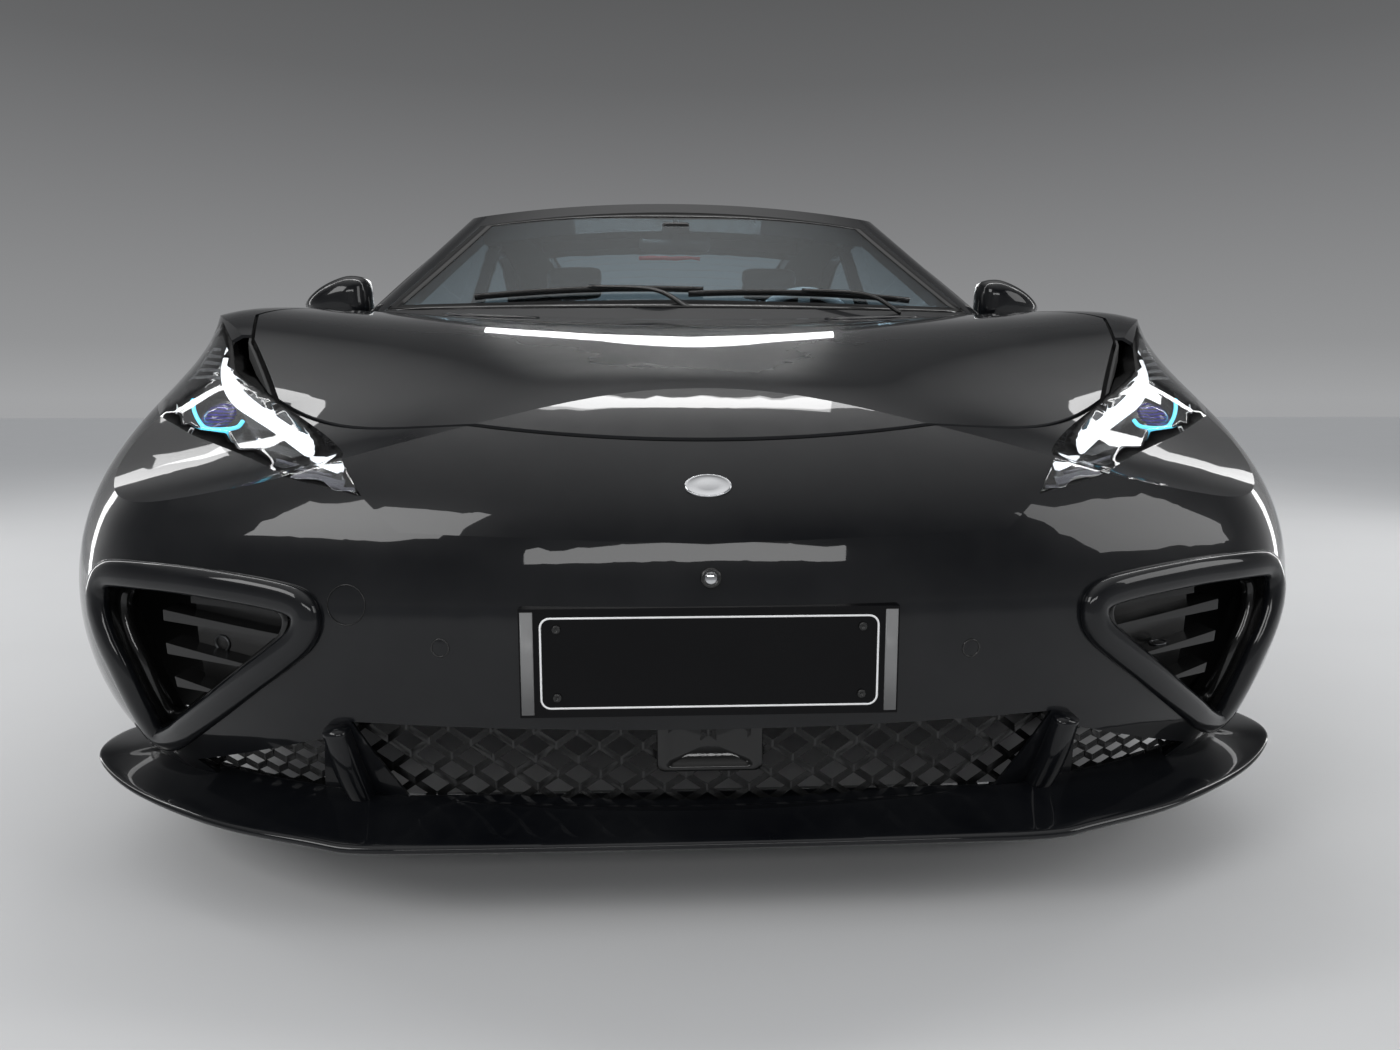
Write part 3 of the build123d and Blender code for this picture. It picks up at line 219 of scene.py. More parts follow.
FINISHES = {
    "paint": finish("gloss_black_paint", (0.004, 0.0045, 0.0055), 0.3, wear=("noise", 6, 5, 0.6), spread=(0.35, 0.75),
                    tint=((0.003, 0.0034, 0.0045), (0.007, 0.0075, 0.0085)), roughness=(0.22, 0.4),
                    bumps=[(0.02, 0.0004, "noise", 260, 1.0)], Coat_Weight=1.0, Coat_Roughness=0.02, Coat_IOR=1.36,
                    Specular_IOR_Level=0.08),
    "piano": plastic("piano_black", 0.004, 0.06, 0.12, 300),
    "black_plastic": plastic("grained_black_plastic", 0.014, 0.32, 0.55),
    "satin_black": plastic("satin_black_plastic", 0.008, 0.18, 0.32, 700),
    "liner": plastic("liner_felt", 0.02, 0.75, 0.95, 350),
    "steel": metal("coated_steel", (0.05, 0.05, 0.055), 0.4, 0.6),
    "cast": metal("cast_aluminium", (0.5, 0.5, 0.51), 0.42, 0.62, 160, 0.3),
    "iron": metal("machined_iron", (0.42, 0.4, 0.38), 0.24, 0.4, 500),
    "alloy": metal("dark_alloy", (0.11, 0.11, 0.12), 0.2, 0.34, 260, 0.05),
    "chrome": metal("bright_metal", (0.75, 0.76, 0.78), 0.08, 0.16, 80, 0.02),
    "grey_trim": metal("grey_trim", (0.16, 0.165, 0.17), 0.3, 0.42, 200, 0.05),
    "tyre": finish("tyre_rubber", grey(0.02), 0.75, wear=("noise", 18, 5, 0.65),
                   tint=(grey(0.012), (0.034, 0.033, 0.032)), roughness=(0.62, 0.9),
                   bumps=[(0.2, 0.0005, "noise", 420, 3)]),
    "glass": glass("tinted_window", (0.62, 0.74, 0.8), (0.42, 0.5, 0.54)),
    "lens": glass("clear_lens", (0.97, 0.98, 0.99), (0.9, 0.92, 0.94)),
    "tail_lamp": lamp_red("smoked_red_lens", 0.07, 190),
    "pack": finish("pack_aluminium", (0.34, 0.35, 0.36), 0.4, 0.85, ("noise", 11, 6, 0.65),
                   tint=((0.12, 0.12, 0.115), (0.36, 0.37, 0.38)), roughness=(0.32, 0.6),
                   bumps=[(0.25, 0.003, "waves", 9, "X")]),
    "trim": leather("soft_trim", 0.022, 0.6),
    "leather": leather("seat_leather", 0.03, 0.62),
    "pale_leather": leather("pale_leather", 0.52, 0.6),
    "glow_white": glow("white_light_guide", (0.92, 0.96, 1.0), 1.1),
    "glow_cyan": glow("cyan_light_guide", (0.1, 0.62, 0.9), 1.2),
    "plate": finish("plate_black", (0.002, 0.002, 0.0025), 0.16, wear=("noise", 7, 5),
                    tint=((0.0015, 0.0015, 0.002), (0.004, 0.004, 0.0045)), roughness=(0.1, 0.26),
                    bumps=[(0.03, 0.0004, "noise", 120, 3)], Specular_IOR_Level=0.12),
    "white_line": plastic("white_line", 0.75, 0.35, 0.45, 600),
    "grey_strip": plastic("grey_strip", 0.16, 0.3, 0.42, 500),
    "ribbed": finish("ribbed_reflector", (0.05, 0.05, 0.06), 0.45, 0.3, ("cells", 900),
                     tint=((0.015, 0.015, 0.02), (0.12, 0.12, 0.14)), bumps=[(0.5, 0.001, "cells", 700)],
                     Specular_IOR_Level=0.2),
    "projector": finish("projector_glass", (0.01, 0.01, 0.05), 0.05, wear=("waves", 60, "Z", 4.0),
                        tint=((0.003, 0.004, 0.015), (0.02, 0.012, 0.22)), bumps=[(0.05, 0.0005, "noise", 30, 2)],
                        Coat_Weight=1.0, Coat_Roughness=0.01, Specular_IOR_Level=0.3),
    "mirror": metal("mirror_glass", (0.62, 0.66, 0.7), 0.01, 0.03, 20, 0.005),
    "glow_red": glow("red_light_guide", (0.85, 0.015, 0.01), 1.3),
    "glow_red_dim": glow("red_light_bar", (0.35, 0.006, 0.006), 0.15),
    "reflector": lamp_red("red_reflector", 0.22, 900),
    "copper": metal("heater_wire", (0.25, 0.1, 0.05), 0.4, 0.6),
    "screen": finish("dark_screen", (0.006, 0.008, 0.012), 0.05, wear=("noise", 4, 5), roughness=(0.03, 0.1),
                     bumps=[(0.01, 0.0005, "noise", 3, 3)], Coat_Weight=1.0, Coat_Roughness=0.02),
    "grille_cloth": finish("speaker_cloth", (0.03, 0.03, 0.032), 0.7, wear=("cells", 520),
                           tint=((0.008, 0.008, 0.009), (0.06, 0.06, 0.062)), bumps=[(0.6, 0.0008, "cells", 520)]),
}
# The record's slots and the finish that each takes
SLOT_FINISHES = {
    "paint": "paint", "glass": "glass", "lamp": "lens", "tail_lamp": "tail_lamp",
    "black_plastic": "satin_black", "liner": "liner", "steel": "steel", "cast": "cast", "pack": "pack",
    "iron": "iron", "alloy": "alloy", "tyre": "tyre", "trim": "trim", "seat": "leather",
    "wheel_trim": "pale_leather", "plate": "plate",
}
# The slot for a new piece of each finish, where it gives none of its own; piece() looks it up but records it nowhere
SLOT_OF = {
    "paint": "paint", "satin_black": "black_plastic", "piano": "black_plastic", "glow_red": "tail_lamp",
    "glow_red_dim": "tail_lamp", "reflector": "tail_lamp", "lens": "lamp", "mirror": "glass", "leather": "seat",
    "steel": "steel",
}


def paint_nodes():
    """Gives each CAD node the procedural material of its slot."""
    for row in frame["record"]["subparts"]:
        obj = NODES[row["node"]]
        mat = FINISHES[SLOT_FINISHES[row["material_slot"]]].mat
        if not obj.material_slots:
            obj.data.materials.append(mat)
        for holder in obj.material_slots:
            holder.link = "OBJECT"
            holder.material = mat


paint_nodes()


# Mesh helpers


def fixed_normals(obj):
    work = bmesh.new()
    work.from_mesh(obj.data)
    bmesh.ops.recalc_face_normals(work, faces=work.faces)
    work.to_mesh(obj.data)
    work.free()


def piece(name, mesh, material, body="body", slot="own", smooth=True, recalc=True):
    """Links a mesh as a piece that rides on a body and takes a finish."""
    obj = bpy.data.objects.new(name, mesh)
    SCENE.collection.objects.link(obj)
    mesh.materials.append(FINISHES[material].mat)
    for poly in mesh.polygons:
        poly.use_smooth = smooth
    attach(obj, body)
    slot = SLOT_OF.get(material) if slot == "own" else slot
    if recalc:
        fixed_normals(obj)
    return obj


def mesh_object(name, verts, faces, material, body="body", slot="own", recalc=True):
    mesh = bpy.data.meshes.new(name)
    mesh.from_pydata([tuple(v) for v in verts], [], faces)
    mesh.update()
    return piece(name, mesh, material, body, slot, recalc=recalc)


def bmesh_object(name, work, material, body="body", slot="own", smooth=True):
    mesh = bpy.data.meshes.new(name)
    work.to_mesh(mesh)
    work.free()
    return piece(name, mesh, material, body, slot, smooth)


def modifier(obj, kind, **values):
    made = obj.modifiers.new(kind.lower(), kind)
    for key, value in values.items():
        setattr(made, key, value)
    return made


def apply_modifiers(obj):
    graph = bpy.context.evaluated_depsgraph_get()
    made = bpy.data.meshes.new_from_object(obj.evaluated_get(graph))
    old = obj.data
    obj.modifiers.clear()
    obj.data = made
    for poly in made.polygons:
        poly.use_smooth = True
    bpy.data.meshes.remove(old)


def sharp_edges(obj, degrees):
    """Shades an object smooth, with edges over an angle left sharp."""
    limit = math.cos(math.radians(degrees))
    work = bmesh.new()
    work.from_mesh(obj.data)
    for edge in work.edges:
        if len(edge.link_faces) == 2:
            a, b = edge.link_faces
            edge.smooth = a.normal.dot(b.normal) > limit
    work.to_mesh(obj.data)
    work.free()


# Outlines, paths and the shapes made from them


def turns(count):
    """Angles that share a full turn evenly."""
    return [2 * math.pi * i / count for i in range(count)]


def circle(radius, count):
    return [(math.cos(t) * radius, math.sin(t) * radius) for t in turns(count)]


def ellipse(a, b, count=14, power=2.0):
    """A closed profile, a half-widths across and b up; a higher power is squarer."""
    points = []
    for c, s in circle(1, count):
        points.append((a * math.copysign(abs(c) ** (2 / power), c), b * math.copysign(abs(s) ** (2 / power), s)))
    return points


def rounded_loop(half_x, half_z, radius, per=6):
    points = []
    for a, b, start in ((1, 1, 0), (-1, 1, 90), (-1, -1, 180), (1, -1, 270)):
        x, z = a * (half_x - radius), b * (half_z - radius)
        for t in (math.radians(start + 90 * k / per) for k in range(per + 1)):
            points.append((x + math.cos(t) * radius, z + math.sin(t) * radius))
    return points


def catmull(points, per=6, closed=False):
    """A smooth path through points of any dimension."""
    pts = [Vector(p) for p in points]
    n = len(pts)
    out = []
    for i in range(n if closed else n - 1):
        p1, p2 = pts[i], pts[(i + 1) % n]
        p0 = pts[i - 1] if closed or i else p1 * 2 - p2
        p3 = pts[(i + 2) % n] if closed or i + 2 < n else p2 * 2 - p1
        for k in range(per):
            t = k / per
            out.append(0.5 * (2 * p1 + (p2 - p0) * t + (2 * p0 - 5 * p1 + 4 * p2 - p3) * t * t
                              + (3 * p1 - p0 - 3 * p2 + p3) * t ** 3))
    if not closed:
        out.append(pts[-1])
    return out


def smooth_pairs(points, per=5, closed=False):
    """The same for points in a plane."""
    return [(p[0], p[1]) for p in catmull([(a, b, 0) for a, b in points], per, closed)]


def arc_points(a, b, c, count=10):
    """Points on the arc through three points in a plane, without the last one."""
    (ax, ay), (bx, by), (cx, cy) = a, b, c
    d = 2 * (ax * (by - cy) + bx * (cy - ay) + cx * (ay - by))
    ux = ((ax * ax + ay * ay) * (by - cy) + (bx * bx + by * by) * (cy - ay) + (cx * cx + cy * cy) * (ay - by)) / d
    uy = ((ax * ax + ay * ay) * (cx - bx) + (bx * bx + by * by) * (ax - cx) + (cx * cx + cy * cy) * (bx - ax)) / d
    r = math.hypot(ax - ux, ay - uy)
    t0, t1, t2 = (math.atan2(y - uy, x - ux) for x, y in (a, b, c))
    span = (t2 - t0) % (2 * math.pi)
    if (t1 - t0) % (2 * math.pi) > span:
        span -= 2 * math.pi
    return [(ux + r * math.cos(t0 + span * i / count), uy + r * math.sin(t0 + span * i / count)) for i in range(count)]


def stop_path(stops, per_line=8):
    """Points along an outline of stops; a stop that is a pair of points is an arc."""
    points, here = [], stops[0]
    for stop in [*stops[1:], stops[0]]:
        if isinstance(stop[0], tuple):
            points += arc_points(here, stop[0], stop[1], 16)
            here = stop[1]
        else:
            points += [(here[0] + (stop[0] - here[0]) * i / per_line, here[1] + (stop[1] - here[1]) * i / per_line)
                       for i in range(per_line)]
            here = stop
    return points


def ring_faces(rows, count, first=False, last=False, looped=False, closed=True):
    """Faces between rows of as many points, with caps on the end rows, or looped round to the first row."""
    faces = []
    for r in range(rows if looped else rows - 1):
        a, b = r * count, (r + 1) % rows * count
        for i in range(count if closed else count - 1):
            j = (i + 1) % count
            faces.append((a + i, a + j, b + j, b + i))
    if first:
        faces.append(tuple(reversed(range(count))))
    if last:
        faces.append(tuple((rows - 1) * count + i for i in range(count)))
    return faces


def lofted(name, rings, material, body="body", slot="own", first=False, last=True):
    """A shell through closed rings of as many points."""
    verts = [v for ring in rings for v in ring]
    faces = ring_faces(len(rings), len(rings[0]), first, last)
    return mesh_object(name, verts, faces, material, body, slot)


def fan(name, middle, rings, material, body="body", slot="own"):
    """A face made of a middle point and two rings."""
    count = len(rings[0])
    faces = [(0, 1 + i, 1 + (i + 1) % count) for i in range(count)]
    faces += [tuple(1 + i for i in face) for face in ring_faces(2, count)]
    return mesh_object(name, [middle, *rings[0], *rings[1]], faces, material, body, slot)


def stepped(place, loop, steps, way, side=ACROSS, up=UP):
    """Rings of a flat outline, each shrunk to a share and moved along a direction."""
    return [[place + side * a * share + up * b * share + way * rise for a, b in loop] for share, rise in steps]


def dome(name, found, radius, steps, count, material, body="body", slot="own"):
    """A round shape set on a surface, through steps of (share of its radius, rise)."""
    place, normal = found
    side = normal.cross(UP).normalized()
    rings = stepped(place, circle(radius, count), steps, normal, side, side.cross(normal))
    return lofted(name, rings, material, body, slot)


def swept(path, ups, profile, closed=False, scale=None):
    """Vertices and faces of a profile of (across, up) points carried along a path."""
    n, m = len(path), len(profile)
    verts = []
    for i, (p, up) in enumerate(zip(path, ups)):
        a = path[i - 1] if closed or i else p
        b = path[(i + 1) % n] if closed or i < n - 1 else p
        along = (b - a).normalized()
        side = along.cross(up).normalized()
        above = side.cross(along)
        ka, kb = scale[i] if scale else (1, 1)
        verts += [p + side * (x * ka) + above * (y * kb) for x, y in profile]
    return verts, ring_faces(n, m, not closed, not closed, closed)


def swept_object(name, path, ups, profile, material, body="body", slot="own", closed=False, scale=None):
    """A piece swept along a path; ups is a direction for each point, or one for all."""
    path = [Vector(p) for p in path]
    ups = ups if isinstance(ups, list) else [Vector(ups)] * len(path)
    verts, faces = swept(path, ups, profile, closed, scale)
    return mesh_object(name, verts, faces, material, body, slot)


def centre_of(points):
    return sum(points[1:], points[0]) / len(points)


def flipped(points):
    return [Vector((-p.x, p.y, p.z)) for p in points]


def two_sides(name, path, ups, *shape, **options):
    """The swept shape on the car's left and its mirror image on the right."""
    swept_object(f"{name}_left", path, ups, *shape, **options)
    swept_object(f"{name}_right", flipped(path), flipped(ups), *shape, **options)


def merged(parts):
    verts, faces = [], []
    for more, polys in parts:
        base = len(verts)
        verts += more
        faces += [tuple(base + i for i in poly) for poly in polys]
    return verts, faces


class Skin:
    """Finds points on some CAD nodes, by rays or through a pixel of the photograph."""

    def __init__(self, *names):
        meshes = [NODES[name].data for name in names]
        verts, faces = merged([([v.co.copy() for v in mesh.vertices], [tuple(p.vertices) for p in mesh.polygons])
                               for mesh in meshes])
        self.tree = BVHTree.FromPolygons(verts, faces)

    def cast(self, origin, way):
        place, normal, _, _ = self.tree.ray_cast(Vector(origin), Vector(way).normalized())
        if place is None:
            return None
        return place, normal if normal.dot(Vector(way)) < 0 else -normal

    def nearest(self, point):
        place, normal, _, _ = self.tree.find_nearest(Vector(point))
        return place, normal

    def front(self, x, z):
        return self.cast((x, -3.2, z), (0, 1, 0))

    def behind(self, x, z):
        return self.cast((x, 3.2, z), (0, -1, 0))

    def above(self, x, y):
        return self.cast((x, y, 1.9), (0, 0, -1))

    def beside(self, sign, y, z):
        return self.cast((sign * 1.3, y, z), (-sign, 0, 0))

    def pixel(self, u, v):
        return self.cast(EYE, pixel_ray(u, v))

    def run(self, finder, points, lift=0.0):
        """Places and normals for a list of points; a miss takes the surface nearest the last ray."""
        places, ups = [], []
        for point in points:
            found = getattr(self, finder)(*point)
            if found is None and places:
                if finder == "pixel":
                    reach = (places[-1] - EYE).length
                    found = self.nearest(EYE + pixel_ray(*point) * reach)
                else:
                    found = self.nearest((point[0], places[-1].y, point[1]))
            if found:
                places.append(found[0])
                ups.append(found[1])
        ups = [(ups[max(i - 1, 0)] + u + ups[min(i + 1, len(ups) - 1)]).normalized() for i, u in enumerate(ups)]
        return [p + u * lift for p, u in zip(places, ups)], ups


def on_surface(hits, lift=0.0):
    """Places and normals of the rays that met a surface."""
    hits = [hit for hit in hits if hit]
    return [p + u * lift for p, u in hits], [u for _, u in hits]


NOSE = Skin("front_bumper", "nose_panel", "headlamps", "front_fenders", "bonnet", "corner_intakes")


# Front trim


def ring_on(name, found, radius, tube, material, lift=0.0, count=28, disc=None):
    """A round rim set on the surface at a point, with a slightly domed disc inside it."""
    place, normal = found
    side = normal.cross(UP).normalized()
    up = side.cross(normal)
    place = place + normal * lift
    path = [place + side * a + up * b for a, b in circle(radius, count)]
    swept_object(name, path, normal, ellipse(tube, tube, 8), material, slot=None, closed=True)
    if disc:
        rings = [[place + (p - place) * share + normal * tube * rise for p in path]
                 for share, rise in ((0.5, 0.6), (0.99, 0.0))]
        fan(f"{name}_face", place + normal * tube * 0.8, rings, disc, slot=None)


def intake_frames():
    outline = [
        (0.520, 0.418), (0.532, 0.436), (0.572, 0.446), (0.65, 0.455), (0.722, 0.460), (0.80, 0.461),
        (0.832, 0.455), (0.846, 0.436), (0.847, 0.408), (0.836, 0.37), (0.815, 0.32), (0.800, 0.26),
        (0.792, 0.226), (0.774, 0.215), (0.745, 0.228), (0.715, 0.250), (0.66, 0.29), (0.604, 0.332),
        (0.56, 0.364), (0.528, 0.392),
    ]
    places, ups = NOSE.run("front", catmull(outline, 5, True), 0.004)
    two_sides("intake_rim", places, ups, ellipse(0.020, 0.013, 16, 2.3), "paint", closed=True)
    middle = centre_of(places)
    inner = [p + (middle - p) * 0.20 + Vector((0, 0.026, 0)) for p in places]
    two_sides("intake_inner_rim", inner, ups, ellipse(0.008, 0.010, 12, 2.3), "piano", closed=True)


def lower_trim():
    """The slanted struts beside the lower grille."""
    points = [(0.492, 0.268), (0.488, 0.235), (0.482, 0.195), (0.474, 0.158), (0.468, 0.136)]
    places, ups = NOSE.run("front", catmull(points, 5), 0.006)
    count = len(places)
    scale = [(0.55 + 0.6 * math.sin(math.pi * (0.25 + 0.6 * i / count)), 1) for i in range(count)]
    two_sides("grille_strut", places, ups, ellipse(0.017, 0.016, 14, 3), "paint", scale=scale)


def sensors():
    for index, u in enumerate((440, 971)):
        ring_on(f"park_sensor_{index}", NOSE.pixel(u, 648), 0.0115, 0.0012, "satin_black", disc="paint")
    intake = Skin("corner_intakes")
    for side, u in ((-1, 223), (1, 1158)):
        found = intake.pixel(u, 643)
        if found:
            ring_on(f"duct_sensor_{side}", found, 0.011, 0.0016, "grey_trim", 0.001, disc="satin_black")
    ring_on("nose_camera", NOSE.pixel(711, 578), 0.0105, 0.0032, "satin_black", 0.001, disc="chrome")
    ring_on("tow_cover", NOSE.pixel(346, 605), 0.026, 0.0007, "satin_black", 0.0002, 40)


def blank_badge():
    """A plain oval where a badge would sit."""
    place, normal = NOSE.front(0, 0.587)
    up = ACROSS.cross(normal)
    up = up if up.z > 0 else -up
    rings = []
    for share, rise in ((1.0, 0.0), (1.0, 0.0022), (0.93, 0.0036), (0.86, 0.0026), (0.45, 0.0034), (0.02, 0.0038)):
        ring = []
        for a, b in circle(share, 40):
            flat = ACROSS * a * 0.031 + up * b * 0.017
            found = NOSE.cast(place + flat + normal * 0.05, -normal)
            ring.append((found[0] if found else place + flat) + normal * rise)
        rings.append(ring)
    lofted("blank_badge", rings, "chrome", slot="alloy")


def plate_details():
    """A thin rounded border, two end strips and four screws on the blank number plate."""
    low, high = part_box("number_plate")
    half_x, half_z, screw = 0.213, 0.058, 0.0055
    middle = Vector((0, low.y - 0.0004, (low.z + high.z) / 2))
    out = -ALONG
    slant = out.orthogonal().normalized()
    steps = [(share, rise * screw) for share, rise in ((1.0, 0.0), (1.0, 0.3), (0.85, 0.45), (0.4, 0.42), (0.33, 0.2),
                                                       (0.02, 0.2))]
    border = [middle + Vector((x, 0, z)) for x, z in rounded_loop(half_x, half_z, 0.012)]
    swept_object("front_plate_border", border, out, ellipse(0.0013, 0.0006, 8), "white_line", closed=True)
    for side in (-1, 1):
        path = [middle + Vector((side * (half_x + 0.017), 0, level * (half_z + 0.008))) for level in (-1, 1)]
        swept_object(f"front_plate_strip_{side}", path, out, ellipse(0.008, 0.0012, 12, 6), "grey_strip")
        for level in (-1, 1):
            place = middle + Vector((side * (half_x - 0.02), 0, level * (half_z - 0.014)))
            rings = stepped(place, circle(screw, 20), steps, out, slant, out.cross(slant))
            lofted(f"front_plate_screw_{side}_{level}", rings, "satin_black", slot=None)


def splitter():
    """The front blade: a bright rounded lip with a face that climbs to the bumper, tips turned up."""
    plan = [
        (0.935, -1.90, 0.140), (0.945, -1.98, 0.150), (0.925, -2.075, 0.158), (0.885, -2.135, 0.150),
        (0.80, -2.205, 0.138), (0.66, -2.285, 0.128), (0.52, -2.335, 0.122), (0.45, -2.352, 0.119),
        (0.30, -2.355, 0.118), (0.15, -2.3565, 0.118), (0.0, -2.357, 0.118),
    ]
    right = catmull(plan, 5)
    path = [*right, *flipped(reversed(right[:-1]))]
    profile = [(0, 0.0), (-0.003, 0.006), (0.0, 0.011), (0.010, 0.014), (0.035, 0.019), (0.075, 0.030),
               (0.120, 0.046), (0.120, -0.004), (0.060, -0.006), (0.012, -0.005)]
    n, m = len(path), len(profile)
    verts = []
    for i, p in enumerate(path):
        along = path[min(i + 1, n - 1)] - path[max(i - 1, 0)]
        along.z = 0
        along.normalize()
        inward = Vector((along.y, -along.x, 0))
        if inward.dot(Vector((0, -1.2, 0)) - Vector((p.x, p.y, 0))) < 0:
            inward = -inward
        lift = max(0.0, min(1.0, (abs(p.x) - 0.55) / 0.35))
        for reach, rise in profile:
            high = p.z + rise * (1 - 0.35 * lift) - (lift * max(p.z - 0.126, 0) * reach / 0.12)
            verts.append(Vector((p.x, p.y, high)) + inward * reach)
    obj = mesh_object("splitter_blade", verts, ring_faces(n, m, True, True), "paint", slot="black_plastic")
    modifier(obj, "SUBSURF", levels=1, render_levels=1)
    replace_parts(obj, "front_splitter")


def inside_polygon(x, z, polygon):
    hit = False
    for (x0, z0), (x1, z1) in zip(polygon, polygon[1:] + polygon[:1]):
        if (z0 > z) != (z1 > z) and x < (x1 - x0) * (z - z0) / (z1 - z0) + x0:
            hit = not hit
    return hit


def nose_line(x, z):
    """The nose surface's place along Y behind and beside the lower openings."""
    level = min(max((z - 0.130) / 0.170, 0), 1)
    tip = -2.290 - 0.055 * level
    back, reach = 0.120 + 0.005 * level, 0.660 + 0.080 * level
    radius = (reach * reach + back * back) / (2 * back)
    return tip + radius - math.sqrt(max(radius * radius - x * x, 0.01))


DIAMOND = ((-0.5, 0), (0, 0.5), (0.5, 0), (0, -0.5))
HEXAGON = ((-0.5, 0.17), (-0.5, -0.17), (0, -0.5), (0.5, -0.17), (0.5, 0.17), (0, 0.5))


def lattice(name, polygon, pitch_x, pitch_z, bar, depth, sink, cell, step):
    """A moulded lattice of cells behind an opening, following the nose."""
    work = bmesh.new()
    base = min(z for _, z in polygon)
    rows = int((max(z for _, z in polygon) - base) / pitch_z) + 3
    columns = int(max(abs(x) for x, _ in polygon) / pitch_x) + 3
    points = {}
    for row in range(-1, int(rows / step) + 1):
        for column in range(-columns, columns + 1):
            cx = (column + (row % 2) / 2) * pitch_x
            cz = base + row * step * pitch_z
            corners = [(cx + dx * pitch_x, cz + dz * pitch_z) for dx, dz in cell]
            if not any(inside_polygon(x, z, polygon) for x, z in [*corners, (cx, cz)]):
                continue
            loop = []
            for x, z in corners:
                key = (round(x, 5), round(z, 5))
                if key not in points:
                    points[key] = work.verts.new((x, 0, z))
                loop.append(points[key])
            if work.faces.get(loop) is None:
                work.faces.new(loop)
    inner = bmesh.ops.inset_individual(work, faces=list(work.faces), thickness=bar)
    holes = [f for f in work.faces if f not in set(inner["faces"])]
    bmesh.ops.delete(work, geom=holes, context="FACES")
    for v in work.verts:
        v.co.y = nose_line(v.co.x, v.co.z) + sink
    obj = bmesh_object(name, work, "satin_black", smooth=False)
    modifier(obj, "SOLIDIFY", thickness=depth, offset=0)
    modifier(obj, "BEVEL", width=bar * 0.35, segments=2, limit_method="ANGLE")
    return obj


def lower_grilles():
    centre = [(-0.478, 0.280), (0.478, 0.280), (0.412, 0.147), (-0.412, 0.147)]
    for side in (-1, 1):
        outer = [(side * 0.512, 0.250), (side * 0.742, 0.182), (side * 0.702, 0.145), (side * 0.530, 0.145)]
        lattice(f"side_honeycomb_{side}", outer, 0.034, 0.030, 0.0028, 0.010, 0.016, HEXAGON, 0.67)
    grille = lattice("grille_lattice", centre, 0.058, 0.046, 0.0042, 0.012, 0.022, DIAMOND, 0.5)
    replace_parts(grille, "lower_grille")


def radar_cover():
    place = Vector((0.002, nose_line(0, 0.2) - 0.002, 0.247))
    steps = ((1.0, 0.050), (1.0, 0.004), (0.97, 0.0), (0.80, 0.0), (0.76, 0.006), (0.02, 0.007))
    lofted("radar_cover", stepped(place, rounded_loop(0.071, 0.040, 0.010), steps, ALONG), "piano", first=True)


# Headlamps

LAMP_OUT = Vector((0.26, -0.58, 0.77)).normalized()
# Strips under the left lamp's cover, through pixels of the photograph: widths, depth, half height, finish, power
LAMP_STRIPS = {
    "light_blade": ([(1057, 463), (1068, 455), (1084, 441), (1102, 425), (1120, 411), (1134, 399), (1142, 386),
                     (1145, 372), (1142, 358), (1138, 347)],
                    [0.020, 0.026, 0.025, 0.024, 0.025, 0.027, 0.024, 0.018, 0.011, 0.004],
                    0.007, 0.003, "glow_white", 3.0),
    "ring_guide": ([(1178, 397), (1178, 407), (1175, 417), (1169, 424), (1155, 425), (1142, 423), (1136, 417)],
                   [0.006] * 7, 0.008, 0.003, "glow_cyan", 2.0),
    "marker_guide": ([(1192, 402), (1193, 414), (1188, 426), (1180, 436)], [0.0015, 0.0025, 0.0025, 0.0015],
                     0.007, 0.0012, "white_line", 2.0),
    "lower_strip": ([(1046, 486), (1070, 476), (1100, 467), (1140, 456), (1172, 446), (1190, 434), (1197, 420)],
                    [0.012, 0.013, 0.010, 0.008, 0.008, 0.007, 0.004], 0.008, 0.002, "ribbed", 3.0),
    "upper_strip": ([(1068, 468), (1100, 456), (1130, 447), (1160, 438), (1184, 424)],
                    [0.004, 0.006, 0.006, 0.005, 0.003], 0.012, 0.0015, "ribbed", 3.0),
    "small_reflector": ([(1120, 437), (1124, 434), (1127, 431)], [0.006, 0.010, 0.008], 0.016, 0.002, "chrome", 3.0),
}
LOUVRES = 5


def lamp_shells():
    """The clear cover and the dark housing, cut from the CAD lamp blocks."""
    mesh = NODES["headlamps"].data
    shells = {"lens": [], "housing": []}
    for poly in mesh.polygons:
        out = Vector((math.copysign(LAMP_OUT.x, poly.center.x), LAMP_OUT.y, LAMP_OUT.z))
        shells["lens" if poly.normal.dot(out) > 0.7 else "housing"].append(poly)
    for kind, polys in shells.items():
        work = bmesh.new()
        index = {}
        for poly in polys:
            for i in poly.vertices:
                if i not in index:
                    index[i] = work.verts.new(mesh.vertices[i].co)
            work.faces.new([index[i] for i in poly.vertices])
        bmesh.ops.remove_doubles(work, verts=work.verts, dist=0.0002)
        made = bpy.data.meshes.new(f"headlamp_{kind}")
        work.to_mesh(made)
        work.free()
        obj = piece(made.name, made, "lens" if kind == "lens" else "piano", slot="lamp", recalc=False)
        if kind == "lens":
            modifier(obj, "SOLIDIFY", thickness=0.0025, offset=-1)
            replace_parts(obj, "headlamps")


def lamp_strip(name, skin, pixels, widths, depth, height, material, power=3.0):
    """A light guide under the lamp's cover."""
    line = catmull([(u, v, w) for (u, v), w in zip(pixels, widths)], 6)
    places, ups = skin.run("pixel", [(p[0], p[1]) for p in line], -depth)
    scale = [(p[2] / 2, 1) for p in line[:len(places)]]
    two_sides(name, places, ups, ellipse(1.0, height, 12, power), material, slot="lamp", scale=scale)


